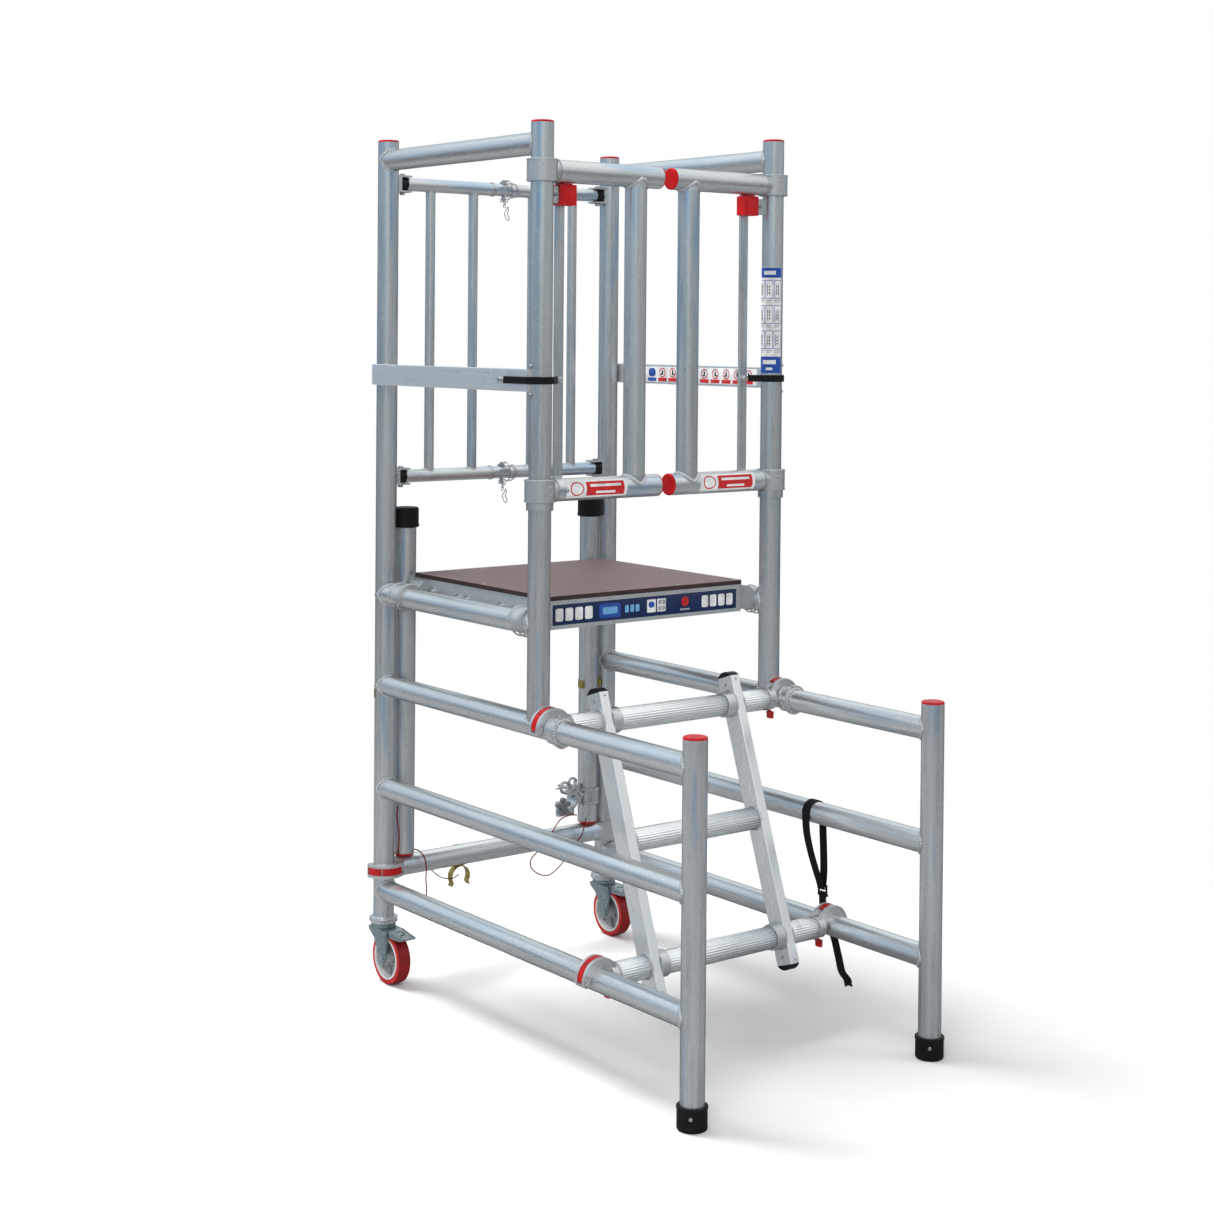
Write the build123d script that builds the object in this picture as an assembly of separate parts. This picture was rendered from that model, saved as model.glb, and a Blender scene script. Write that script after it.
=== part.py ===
from build123d import *
import math
import os

# Podium-step scaffold. Millimetres, +Z up, front (ladder and gates) faces -Y.
# Origin: floor level, centre of the overall footprint.

# tube stock
TUBE_R = 25.4
WALL = 3.2
GUARD_R = 16.0
BAR_R = 12.0
GAP = 0.02

# frame layout
HALF_W = 340.0
REAR_Y = 586.15
POST_PITCH = 640.0
LEG_PITCH = 1175.0
POST_TOP = 2044.0
POST_FOOT = 158.0
LEG_TOP = 780.0
SOLE_T = 6.0
RAIL_Z = (220.0, 471.0, 722.0)
DECK_RAIL_Z = 944.0
GUARD_RAIL_Z = 2000.0
SIDE_BAR_Z = 1480.0
SIDE_BAR_H = 50.0
SIDE_BAR_T = 10.0

# gates
GATE_TOP_Z = 1940.0
GATE_LOW_Z = 1238.0
GATE_TUBE_END = {-1: 326.0, 1: 314.0}
GATE_UPRIGHT = 262.0
GATE_BAR = (55.5, 80.5)
GATE_BAR_T = 6.0
COLLAR_R = 34.0
COLLAR_H = 50.0

# deck
DECK_TOP = 997.0
BOARD_T = 10.0
DECK_HALF_W = 285.0
DECK_FRONT = 603.0
DECK_REAR = 45.0
BEAM_H = 64.9
BEAM_W = 25.0
HOOK_W = 50.0
HOOK_PITCH = (588.0, 86.0)
RIVET_R = 6.0

# rear guard
REAR_GUARD_Z = (1230.0, 1945.0)
GUARD_BARS = (122.0, 249.0)

# ladder unit
LADDER_TOP = 682.0
LADDER_LOW = 856.0
STILE_X = 193.0
STILE_W = 25.0
STILE_D = 50.0
STILE_TOP_Z = 781.0
STILE_LOW_Z = 158.0
CLAW_W = 32.0
CLAW_R = 46.5
CLAW_SHIFT = 3.0
CLAW_BORE = TUBE_R + 0.1
CLAW_REACH = 50.0
CLAW_START = -6.0
LATCH_W = 17.5
LATCH_NOTCH = (48.0, 51.5)

# rear brace and stowed stabilisers
BRACE_Z = 272.0
BRACE_CLIP_X = -120.0
STAB_OFFSET = 57.0
STAB_LOW = 304.0
STAB_HIGH = 1148.0
CLIP_Z = {-1: 702.0, 1: 664.0}
CLAMP_Z = 372.0

# castors
WHEEL_R = 62.5
WHEEL_W = 34.0
CASTOR_TRAIL = 38.0
FORK_TOP = 131.0

POST_Y = REAR_Y - POST_PITCH
LEG_Y = REAR_Y - LEG_PITCH
RAIL_TOP_Z = RAIL_Z[2]
RAIL_LOW_Z = RAIL_Z[0]

nodes = {}


def drum(r, h):
    """Cylinder that stands on the origin."""
    return Cylinder(r, h, align=(Align.CENTER, Align.CENTER, Align.MIN))


def rod(p, q, r):
    """Solid cylinder from point p to point q."""
    start = Vector(*p)
    axis = Vector(*q) - start
    return Plane(origin=start, z_dir=axis) * drum(r, axis.length)


def pipe(p, q, r=TUBE_R, wall=WALL):
    """Hollow tube from p to q, open at both ends."""
    return rod(p, q, r) - rod(p, q, r - wall)


def block(x0, x1, y0, y1, z0, z1):
    """Axis-aligned box between two opposite corners."""
    size = (abs(x1 - x0), abs(y1 - y0), abs(z1 - z0))
    centre = ((x0 + x1) / 2, (y0 + y1) / 2, (z0 + z1) / 2)
    return Pos(*centre) * Box(*size)


def prism(points, plane, depth):
    """Polygon in a plane, extruded evenly to both sides."""
    sketch = make_face(Polyline(*points, close=True))
    return extrude(plane * sketch, depth / 2, both=True)


def arc_points(radius, start, stop, steps):
    """Points on a circle about the origin, angles in degrees."""
    out = []
    for i in range(steps + 1):
        a = math.radians(start + (stop - start) * i / steps)
        out.append((radius * math.cos(a), radius * math.sin(a)))
    return out


def band(radius, thick, start, stop, plane, width):
    """Part of a ring of rectangular section, centred on the plane's origin."""
    inner = arc_points(radius, start, stop, 2)
    outer = arc_points(radius + thick, stop, start, 2)
    edges = [
        ThreePointArc(*inner),
        Line(inner[-1], outer[0]),
        ThreePointArc(*outer),
        Line(outer[-1], inner[0]),
    ]
    return extrude(plane * make_face(edges), width / 2, both=True)


def ribbon(points, thick, plane, width):
    """Flat strap that follows a polyline in a plane."""
    left = []
    right = []
    for i, (x, y) in enumerate(points):
        ax, ay = points[max(i - 1, 0)]
        bx, by = points[min(i + 1, len(points) - 1)]
        length = math.hypot(bx - ax, by - ay)
        nx = -(by - ay) / length * thick / 2
        ny = (bx - ax) / length * thick / 2
        left.append((x + nx, y + ny))
        right.append((x - nx, y - ny))
    return prism(left + right[::-1], plane, width)


def bolt_head(p, direction, r=5.5, h=5.0, dome=True):
    """Fastener head that stands on a surface at p, facing along direction."""
    frame = Plane(origin=Vector(*p), z_dir=Vector(*direction))
    head = drum(r, h)
    if dome:
        head = fillet(head.edges().sort_by(Axis.Z)[-1], min(r, h) * 0.45)
    return frame * head


def tube_cap(x, y, z, up=1):
    """Push-in cap with a low domed top for a vertical tube end."""
    disc = drum(TUBE_R, 5.0)
    disc = fillet(disc.edges().sort_by(Axis.Z)[-1], 3.5)
    plug = Pos(0, 0, -12) * drum(TUBE_R - WALL - 0.1, 12)
    cap = Pos(0, 0, GAP) * (disc + plug)
    if up < 0:
        cap = Rot(180, 0, 0) * cap
    return Pos(x, y, z) * cap


def end_cap(x, y, z, out):
    """Push-in cap for a horizontal tube end that faces along x."""
    cap = tube_cap(0, 0, 0)
    return Pos(x, y, z) * Rot(0, 90 * out, 0) * cap


def rubber_foot(x, y, z, up):
    """Ferrule of black rubber over a tube end; up is +1 for a sole below."""
    body = drum(31.3, 49)
    body = fillet(body.edges().sort_by(Axis.Z)[0], 5)
    body = chamfer(body.edges().sort_by(Axis.Z)[-1], 1.5)
    bore = Pos(0, 0, SOLE_T - GAP) * drum(TUBE_R + 0.05, 60)
    foot = body - bore
    if up < 0:
        foot = Rot(180, 0, 0) * foot
    return Pos(x, y, z) * foot


# ---------------------------------------------------------------- side frames
def post_set(s):
    x = s * HALF_W
    rear = pipe((x, REAR_Y, POST_FOOT), (x, REAR_Y, POST_TOP))
    front = pipe((x, POST_Y, RAIL_TOP_Z), (x, POST_Y, POST_TOP))
    front -= rod((x, POST_Y - 60, RAIL_TOP_Z), (x, POST_Y + 60, RAIL_TOP_Z), TUBE_R + GAP)
    leg = pipe((x, LEG_Y, SOLE_T), (x, LEG_Y, LEG_TOP))
    ring_top = GATE_LOW_Z - COLLAR_H / 2 - 0.5
    ring = pipe((x, POST_Y, ring_top - 17), (x, POST_Y, ring_top), 30.0, 4.58)
    return Compound(children=[rear, front, leg, ring])


def rail(x, y0, y1, z):
    """Horizontal tube with saddle-cut ends that fit two upright tubes."""
    tube = pipe((x, y0, z), (x, y1, z))
    for y in (y0, y1):
        tube -= rod((x, y, z - 60), (x, y, z + 60), TUBE_R + GAP)
    return tube


def rail_set(s):
    x = s * HALF_W
    parts = [rail(x, REAR_Y, LEG_Y, z) for z in RAIL_Z]
    sleeve_y = POST_Y - 62.5
    parts[2] += pipe((x, sleeve_y - 26, RAIL_TOP_Z), (x, sleeve_y, RAIL_TOP_Z), 30.5, 5.5)
    parts[2] += pipe((x, sleeve_y - 33, RAIL_TOP_Z), (x, sleeve_y - 25, RAIL_TOP_Z), 33.5, 8.5)
    parts.append(rail(x, REAR_Y, POST_Y, DECK_RAIL_Z))
    parts.append(rail(x, REAR_Y, POST_Y, GUARD_RAIL_Z))
    return Compound(children=parts)


for s, name in ((-1, "left"), (1, "right")):
    nodes[name + "_posts"] = post_set(s)
    nodes[name + "_rails"] = rail_set(s)

bars = []
for s in (-1, 1):
    x_in = s * (HALF_W + TUBE_R + GAP)
    x_out = s * (HALF_W + TUBE_R + SIDE_BAR_T)
    z0 = SIDE_BAR_Z - SIDE_BAR_H / 2
    z1 = SIDE_BAR_Z + SIDE_BAR_H / 2
    bar = block(x_in, x_out, REAR_Y + 12, POST_Y + 3, z0, z1)
    bar = chamfer(bar.edges().filter_by(Axis.Y), 1.0)
    bars.append(bar)
nodes["side_bars"] = Compound(children=bars)

caps = []
for s in (-1, 1):
    caps.append(tube_cap(s * HALF_W, REAR_Y, POST_TOP))
    caps.append(tube_cap(s * HALF_W, POST_Y, POST_TOP))
    caps.append(tube_cap(s * HALF_W, LEG_Y, LEG_TOP))
    caps.append(tube_cap(s * (HALF_W - STAB_OFFSET), REAR_Y, STAB_LOW, up=-1))
nodes["tube_caps"] = Compound(children=caps)

nodes["rubber_feet"] = Compound(children=[rubber_foot(s * HALF_W, LEG_Y, 0, 1) for s in (-1, 1)])


# ---------------------------------------------------------------- gates
def gate_tubes(s):
    def at(d):
        return s * (HALF_W - d)

    parts = []
    for z in (GATE_LOW_Z, GATE_TOP_Z):
        parts.append(pipe((at(36), POST_Y, z), (at(GATE_TUBE_END[s]), POST_Y, z)))
    upright = pipe((at(GATE_UPRIGHT), POST_Y, GATE_LOW_Z), (at(GATE_UPRIGHT), POST_Y, GATE_TOP_Z))
    for z in (GATE_LOW_Z, GATE_TOP_Z):
        upright -= rod((at(200), POST_Y, z), (at(330), POST_Y, z), TUBE_R + GAP)
    parts.append(upright)
    y0 = POST_Y + TUBE_R + GAP
    d0, d1 = GATE_BAR
    bar = block(at(d0), at(d1), y0, y0 + GATE_BAR_T, GATE_LOW_Z - 22, GATE_TOP_Z + 20)
    parts.append(chamfer(bar.edges().filter_by(Axis.Z), 0.8))
    return Compound(children=parts)


def tee_collar(x, y, z, out):
    """Cast hinge collar round a post with a spigot inside a tube along x."""
    ring = rod((0, 0, -COLLAR_H / 2), (0, 0, COLLAR_H / 2), COLLAR_R)
    ring = chamfer(ring.edges(), 1.2)
    neck = rod((0, 0, 0), (35.9, 0, 0), TUBE_R)
    spigot = rod((20, 0, 0), (78, 0, 0), TUBE_R - WALL - 0.1)
    casting = ring + neck + spigot
    casting -= rod((0, 0, -60), (0, 0, 60), TUBE_R + 0.05)
    if out < 0:
        casting = Rot(0, 0, 180) * casting
    return Pos(x, y, z) * casting


def gate_collars(s):
    parts = []
    x = s * HALF_W
    for z in (GATE_LOW_Z, GATE_TOP_Z):
        parts.append(tee_collar(x, POST_Y, z, -s))
        parts.append(bolt_head((x - s * 57, POST_Y - TUBE_R - GAP, z), (0, -1, 0), 4.0, 2.5))
    face = POST_Y + TUBE_R
    parts.append(bolt_head((x - s * 68, face, SIDE_BAR_Z), (0, -1, 0), 7.0, 9.0))
    return Compound(children=parts)


for s, name in ((-1, "left"), (1, "right")):
    nodes[name + "_gate_tubes"] = gate_tubes(s)
    nodes[name + "_gate_collars"] = gate_collars(s)
    tip = s * (HALF_W - GATE_TUBE_END[s])
    nodes[name + "_gate_caps"] = Compound(
        children=[end_cap(tip, POST_Y, z, -s) for z in (GATE_LOW_Z, GATE_TOP_Z)]
    )

stops = []
zinc = []
for s in (-1, 1):
    x = s * HALF_W
    stop = block(x - s * 48, x - s * 93, POST_Y - 2, POST_Y + TUBE_R - 0.1, 1866, 1912)
    stops.append(fillet(stop.edges().filter_by(Axis.Y), 3.0))
    arm = block(x - s * 15, x - s * (48 - GAP), POST_Y + 3, POST_Y + 18, 1870, 1907)
    arm -= rod((x, POST_Y, 1800), (x, POST_Y, 1960), TUBE_R + GAP)
    zinc.append(arm)
nodes["gate_stops"] = Compound(children=stops)


def cord(s):
    """Flat rubber strap round the front of a post, from side bar to gate bar."""
    r = 28.4
    lane = TUBE_R + SIDE_BAR_T + 3.1
    a0 = 180 + math.degrees(math.acos(r / lane))
    a1 = 360 + math.degrees(math.atan2(19, 58)) - math.degrees(math.acos(r / math.hypot(58, 19)))
    path = [(-lane, 86), (-lane, -1)] + arc_points(r, a0, a1, 24) + [(58, 19)]
    path = [(-s * px, py) for px, py in path]
    plane = Plane(origin=(s * HALF_W, POST_Y, SIDE_BAR_Z))
    return ribbon(path, 5.0, plane, 16.0)


nodes["gate_cords"] = Compound(children=[cord(s) for s in (-1, 1)])

# ---------------------------------------------------------------- deck
board_y0 = REAR_Y - DECK_FRONT
board_y1 = REAR_Y - DECK_REAR
board = block(-DECK_HALF_W, DECK_HALF_W, board_y0, board_y1, DECK_TOP - BOARD_T, DECK_TOP)
board = fillet(board.edges().filter_by(Axis.Z), 4.0)
rivets = []
for y in (board_y0 + 14, (board_y0 + board_y1) / 2, board_y1 - 14):
    for x in (-(DECK_HALF_W - 14), -95, 95, DECK_HALF_W - 14):
        board -= rod((x, y, DECK_TOP - 1.5), (x, y, DECK_TOP + 1), RIVET_R + 0.05)
        rivets.append(rod((x, y, DECK_TOP - 1.48), (x, y, DECK_TOP - 0.05), RIVET_R))
nodes["deck_board"] = board


def channel(length, open_side):
    """C-section beam along +x; open_side is the sign of y it opens towards."""
    solid = block(0, length, -BEAM_W / 2, BEAM_W / 2, -BEAM_H / 2, BEAM_H / 2)
    web = 3.0
    y0 = -BEAM_W / 2 + web if open_side > 0 else -BEAM_W / 2 - 1
    y1 = BEAM_W / 2 + 1 if open_side > 0 else BEAM_W / 2 - web
    return solid - block(-1, length + 1, y0, y1, -BEAM_H / 2 + 3, BEAM_H / 2 - 3)


beam_x = DECK_HALF_W - 2
beam_z = DECK_TOP - BOARD_T - GAP - BEAM_H / 2
front_y = board_y0 + 2 + BEAM_W / 2
rear_y = board_y1 - 2 - BEAM_W / 2
beams = [
    Pos(-beam_x, front_y, beam_z) * channel(2 * beam_x, 1),
    Pos(-beam_x, rear_y, beam_z) * channel(2 * beam_x, -1),
]
span = rear_y - front_y - BEAM_W - 2 * GAP
for s in (-1, 1):
    side = Pos(s * (beam_x - BEAM_W / 2), front_y + BEAM_W / 2 + GAP, beam_z)
    beams.append(side * Rot(0, 0, 90) * channel(span, s))
for x in (-95.0, 95.0):
    inner = Pos(x, front_y + BEAM_W / 2 + GAP, beam_z + 8) * Rot(0, 0, 90)
    beams.append(inner * (block(0, span, -15, 15, -20, 20) - block(-1, span + 1, -12, 12, -17, 17)))
nodes["deck_beams"] = Compound(children=beams)

hook_y = [REAR_Y - pitch for pitch in HOOK_PITCH]


def deck_hook(s, y):
    """Cast hook over a deck rail with an arm to the deck side beam."""
    plane = Plane(origin=(s * HALF_W, y, DECK_RAIL_Z), x_dir=(-s, 0, 0), z_dir=(0, s, 0))
    ring = band(TUBE_R + 0.1, 7.5, -12, 180, plane, HOOK_W)
    reach = HALF_W - DECK_HALF_W + 2 - GAP
    arm = prism([(26, -16), (reach, -16), (reach, 38), (40, 38), (26, 26)], plane, HOOK_W)
    arm -= rod((s * HALF_W, y - 60, DECK_RAIL_Z), (s * HALF_W, y + 60, DECK_RAIL_Z), TUBE_R + 0.1)
    return ring + arm


nodes["deck_hooks"] = Compound(children=[deck_hook(s, y) for s in (-1, 1) for y in hook_y])


def windlock(s, y):
    """Spring wire keeper that hangs under a deck rail."""
    wire = 1.75
    radius = 31.0
    plane = Plane(origin=(s * HALF_W, y, DECK_RAIL_Z), x_dir=(-s, 0, 0), z_dir=(0, s, 0))
    body = None
    for dy in (-11.0, 11.0):
        lane = plane.offset(dy)
        path = lane * ThreePointArc(*arc_points(radius, -38, -160, 2))
        ring = sweep(Plane(origin=path @ 0, z_dir=path % 0) * Circle(wire), path=path)
        body = ring if body is None else body + ring
    for angle in (-38, -160):
        px, pz = arc_points(radius, angle, angle, 1)[0]
        x = s * (HALF_W - px)
        z = DECK_RAIL_Z + pz
        body += rod((x, y - 11 - wire, z), (x, y + 11 + wire, z), wire)
    return body


for s, side in ((-1, "left"), (1, "right")):
    for y, end in zip(hook_y, ("front", "rear")):
        nodes["windlock_" + end + "_" + side] = windlock(s, y)

# ---------------------------------------------------------------- rear guard
guard = {-1: [], 1: []}
plugs = []
pins = []
bolts = []
for s in (-1, 1):
    post_in = HALF_W - TUBE_R
    for z in REAR_GUARD_Z:
        x_out = s * (HALF_W - 50)
        x_mid = s * 26
        guard[s].append(pipe((x_out, REAR_Y, z), (x_mid, REAR_Y, z), GUARD_R, 2.0))
        plug = rod((s * (HALF_W - 30), REAR_Y, z), (s * (HALF_W - 50 + GAP), REAR_Y, z), GUARD_R)
        plug += rod((s * (HALF_W - 48), REAR_Y, z), (s * (HALF_W - 74), REAR_Y, z), GUARD_R - 2.1)
        x_bolt = s * (HALF_W - 40)
        bolt_hole = rod((x_bolt, REAR_Y, z - 40), (x_bolt, REAR_Y, z + 40), 4.05)
        plug -= bolt_hole
        plugs.append(plug)
        x0 = s * (HALF_W - 15)
        x1 = s * (HALF_W - 58)
        plate = block(x0, x1, REAR_Y - 17, REAR_Y + 17, z - 20.5, z + 20.5)
        x0 = s * (HALF_W - 29)
        x1 = s * (HALF_W - 90)
        plate -= block(x0, x1, REAR_Y - 30, REAR_Y + 30, z - 16.5, z + 16.5)
        plate -= rod((s * HALF_W, REAR_Y, z - 40), (s * HALF_W, REAR_Y, z + 40), TUBE_R + GAP)
        plate -= bolt_hole
        zinc.append(plate)
        shank = rod((x_bolt, REAR_Y, z - 26), (x_bolt, REAR_Y, z + 20.6), 4.0)
        shank += bolt_head((x_bolt, REAR_Y, z + 20.55), (0, 0, 1), 7.0, 5.0)
        shank += Pos(x_bolt, REAR_Y, z - 20.55) * extrude(RegularPolygon(7.5, 6), -6)
        bolts.append(shank)
    for d in GUARD_BARS:
        x = s * (HALF_W - d)
        upright = pipe((x, REAR_Y, REAR_GUARD_Z[0]), (x, REAR_Y, REAR_GUARD_Z[1]), BAR_R, 2.0)
        for z in REAR_GUARD_Z:
            upright -= rod((x - 40, REAR_Y, z), (x + 40, REAR_Y, z), GUARD_R + GAP)
        guard[s].append(upright)

PIN_R = 5.0
for z in REAR_GUARD_Z:
    fork = block(-30, 14, REAR_Y - 15, REAR_Y + 15, z - 15, z + 15)
    fork -= block(-14, 20, REAR_Y - 20, REAR_Y + 20, z - 8, z + 8)
    fork -= rod((0, REAR_Y, z - 40), (0, REAR_Y, z + 40), PIN_R + 0.05)
    fork = fork & rod((-30, REAR_Y, z), (14, REAR_Y, z), GUARD_R)
    fork -= block(-30, -26 + GAP, REAR_Y - 30, REAR_Y + 30, z - 30, z + 30)
    fork += rod((-25.9, REAR_Y, z), (-48, REAR_Y, z), GUARD_R - 2.1)
    guard[-1].append(fork)
    tongue = block(-12, 26 - GAP, REAR_Y - 13, REAR_Y + 13, z - 7.8, z + 7.8)
    tongue &= rod((-12, REAR_Y, z), (30, REAR_Y, z), GUARD_R)
    tongue += rod((16, REAR_Y, z), (26 - GAP, REAR_Y, z), GUARD_R)
    tongue += rod((25, REAR_Y, z), (48, REAR_Y, z), GUARD_R - 2.1)
    tongue -= rod((0, REAR_Y, z - 40), (0, REAR_Y, z + 40), PIN_R + 0.05)
    guard[1].append(tongue)
    pin = rod((0, REAR_Y, z - 28), (0, REAR_Y, z + 19), PIN_R)
    pin += rod((0, REAR_Y, z + 16.2), (0, REAR_Y, z + 20.5), 9.0)
    pin += rod((0, REAR_Y, z + 20), (0, REAR_Y, z + 25), 4.0)
    pin += rod((0, REAR_Y, z + 23), (9.7, REAR_Y, z + 23.5), 2.0)
    pins.append(pin)
nodes["guard_left_section"] = Compound(children=guard[-1])
nodes["guard_right_section"] = Compound(children=guard[1])
nodes["guard_plugs"] = Compound(children=plugs)
nodes["guard_pins"] = Compound(children=pins)


def bail(z):
    """Wire keeper that hangs from the pin head round the front of the rail."""
    wire = 1.5
    x = 12.5
    plane = Plane(origin=(x, REAR_Y, z), x_dir=(0, -1, 0), z_dir=(-1, 0, 0))
    path = plane * ThreePointArc(*arc_points(24.0, 88, -80, 2))
    ring = sweep(Plane(origin=path @ 0, z_dir=path % 0) * Circle(wire), path=path)
    return ring + rod((x - 2, REAR_Y, z + 24), (x + 2, REAR_Y, z + 24), 2.6)


for z, name in zip(REAR_GUARD_Z, ("lower", "upper")):
    nodes["guard_bail_" + name] = bail(z)

# ---------------------------------------------------------------- ladder unit
slope = (LADDER_LOW - LADDER_TOP) / (RAIL_TOP_Z - RAIL_LOW_Z)
tilt = math.degrees(math.atan(slope))


def ladder_y(z):
    return REAR_Y - LADDER_TOP - (RAIL_TOP_Z - z) * slope


def along(x, z):
    """Local frame on a stile axis: z runs up the stile, y to the rear."""
    return Pos(x, ladder_y(z), z) * Rot(-tilt, 0, 0)


stile_len = (STILE_TOP_Z - STILE_LOW_Z) / math.cos(math.radians(tilt))
stiles = []
stile_caps = []
for s in (-1, 1):
    x = s * STILE_X
    half_w = STILE_W / 2
    half_d = STILE_D / 2
    outer = block(-half_w, half_w, -half_d, half_d, 0, stile_len)
    outer = fillet(outer.edges().filter_by(Axis.Z), 2.5)
    inner = block(-half_w + 2, half_w - 2, -half_d + 2, half_d - 2, -1, stile_len + 1)
    stiles.append(along(x, STILE_LOW_Z) * (outer - inner))
    for z, up in ((STILE_TOP_Z, 1), (STILE_LOW_Z, -1)):
        dome = Rot(0, 90, 0) * Cylinder(30, STILE_W)
        dome = Pos(0, 0, -18) * dome
        dome &= block(-half_w, half_w, -half_d, half_d, GAP, 30)
        dome += block(-10.4, 10.4, -22.9, 22.9, -16, 0.5)
        turn = Rot(0, 0, 0) if up > 0 else Rot(180, 0, 0)
        stile_caps.append(along(x, z) * turn * dome)
nodes["ladder_stiles"] = Compound(children=stiles)
nodes["ladder_end_caps"] = Compound(children=stile_caps)



def slid(plane, x, z=0):
    """The same plane with its origin moved along its own x and z."""
    origin = plane.from_local_coords((x, 0, z))
    return Plane(origin=origin, x_dir=plane.x_dir, z_dir=plane.z_dir)


def claw_hook(plane, width=CLAW_W):
    """Cast half-ring over a tube: two flanges with a groove for the latch, and a hub.

    In the plane x points away from the tube the claw is fixed to, y to the closed side.
    """
    ring_plane = slid(plane, -CLAW_SHIFT)
    hook = band(20.0, CLAW_R - 20.0, CLAW_START, 180, ring_plane, width)
    hook -= band(CLAW_R - 5.5, 8.0, CLAW_START - 15, 180, ring_plane, LATCH_W)
    for side in (-1, 1):
        face = slid(ring_plane, 0, side * width / 2)
        hook -= band(32.0, CLAW_R - 35.5, 2, 165, face, 2.4)
        hook += face * Pos(36.0, 4.0, 0) * Cylinder(5.0, 3.0)
        hook += face * Pos(36.0, 4.0, side) * Sphere(2.6)
    inward = -plane.x_dir
    hub = Plane(origin=plane.from_local_coords((-31, 0, 0)), z_dir=inward)
    spigot = Plane(origin=plane.from_local_coords((-40, 0, 0)), z_dir=inward)
    hook += hub * drum(TUBE_R - 0.1, CLAW_REACH - 31)
    hook += spigot * drum(TUBE_R - WALL - 0.1, 45)
    bore = plane * Cylinder(CLAW_BORE, 80)
    slot = plane * Pos(0, -40, 0) * Box(2 * CLAW_BORE, 80, 80)
    return hook - bore - slot


def red_bands(plane, stop):
    """Two strips of the latch band, with a notch between them."""
    spans = ((CLAW_START + 6, LATCH_NOTCH[0]), (LATCH_NOTCH[1], stop))
    return [band(CLAW_R - 5.4, 4.8, a, b, plane, LATCH_W - 0.5) for a, b in spans]


def claw_latch(plane):
    """Red band that slips round in the claw's groove, with a thumb tab below."""
    ring_plane = slid(plane, -CLAW_SHIFT)
    tab = prism([(-27, -31), (-38, -31), (-36, -47), (-28, -47)], plane, 15.0)
    return Compound(children=[*red_bands(ring_plane, 118), tab])


cross = []
sockets = []
claws = []
inner_face = STILE_X - STILE_W / 2 - GAP
outer_face = STILE_X + STILE_W / 2 + GAP
for z, level in ((RAIL_LOW_Z, "lower"), (RAIL_TOP_Z, "upper")):
    y = ladder_y(z)
    cross.append(pipe((-inner_face, y, z), (inner_face, y, z)))
    for s, side in ((-1, "left"), (1, "right")):
        cross.append(pipe((s * outer_face, y, z), (s * (HALF_W - CLAW_REACH - GAP), y, z)))
        sockets.append(pipe((s * inner_face, y, z), (s * (inner_face - 24), y, z), 29.5, 4.05))
        plane = Plane(origin=(s * HALF_W, y, z), x_dir=(s, 0, 0), z_dir=(0, -s, 0))
        claws.append(claw_hook(plane))
        nodes["ladder_latch_" + level + "_" + side] = claw_latch(plane)
rung_y = ladder_y(RAIL_Z[1])
cross.append(pipe((-inner_face, rung_y, RAIL_Z[1]), (inner_face, rung_y, RAIL_Z[1])))
nodes["ladder_tubes"] = Compound(children=cross)
nodes["ladder_sockets"] = Compound(children=sockets)
nodes["ladder_claws"] = Compound(children=claws)

# ---------------------------------------------------------------- rear brace
left_end = -(HALF_W - CLAW_REACH - GAP)
nodes["brace_tube"] = pipe((left_end, REAR_Y, BRACE_Z), (HALF_W - 36, REAR_Y, BRACE_Z))
nodes["brace_collar"] = Compound(
    children=[
        tee_collar(HALF_W, REAR_Y, BRACE_Z, -1),
        bolt_head((HALF_W - 57, REAR_Y - TUBE_R - GAP, BRACE_Z), (0, -1, 0), 4.0, 2.5),
    ]
)
brace_plane = Plane(origin=(-HALF_W, REAR_Y, BRACE_Z), x_dir=(-1, 0, 0), z_dir=(0, 0, 1))
nodes["brace_claw"] = claw_hook(brace_plane)
brace_ring = slid(brace_plane, -CLAW_SHIFT)
nodes["brace_latch"] = Compound(children=red_bands(brace_ring, 122))


def spring_clip(plane, start, stop):
    """Sheet-metal C that grips a tube, with a flared lip at each end."""
    clip = band(TUBE_R + 0.05, 1.6, start, stop, plane, 20)
    lip = [(-8.9, 24.2), (-15.9, 30.4), (-15.0, 31.6), (-7.6, 26.0)]
    for side, end in ((1, stop), (-1, start)):
        turn = math.radians(end - side * 110)
        bent = []
        for px, py in lip:
            py *= side
            bent.append((px * math.cos(turn) - py * math.sin(turn), px * math.sin(turn) + py * math.cos(turn)))
        clip += prism(bent, plane, 20)
    return clip


saddle_plane = Plane(origin=(BRACE_CLIP_X, REAR_Y, BRACE_Z), x_dir=(0, 1, 0), z_dir=(1, 0, 0))
jaw_z = BRACE_Z - 2 * TUBE_R - 2.0
jaw_plane = Plane(origin=(BRACE_CLIP_X, REAR_Y, jaw_z), x_dir=(0, 0, 1), z_dir=(0, 1, 0))
clip = band(TUBE_R + 0.05, 1.6, -120, 60, saddle_plane, 20)
nodes["brace_clip"] = clip + spring_clip(jaw_plane, -125, 125)

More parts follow.
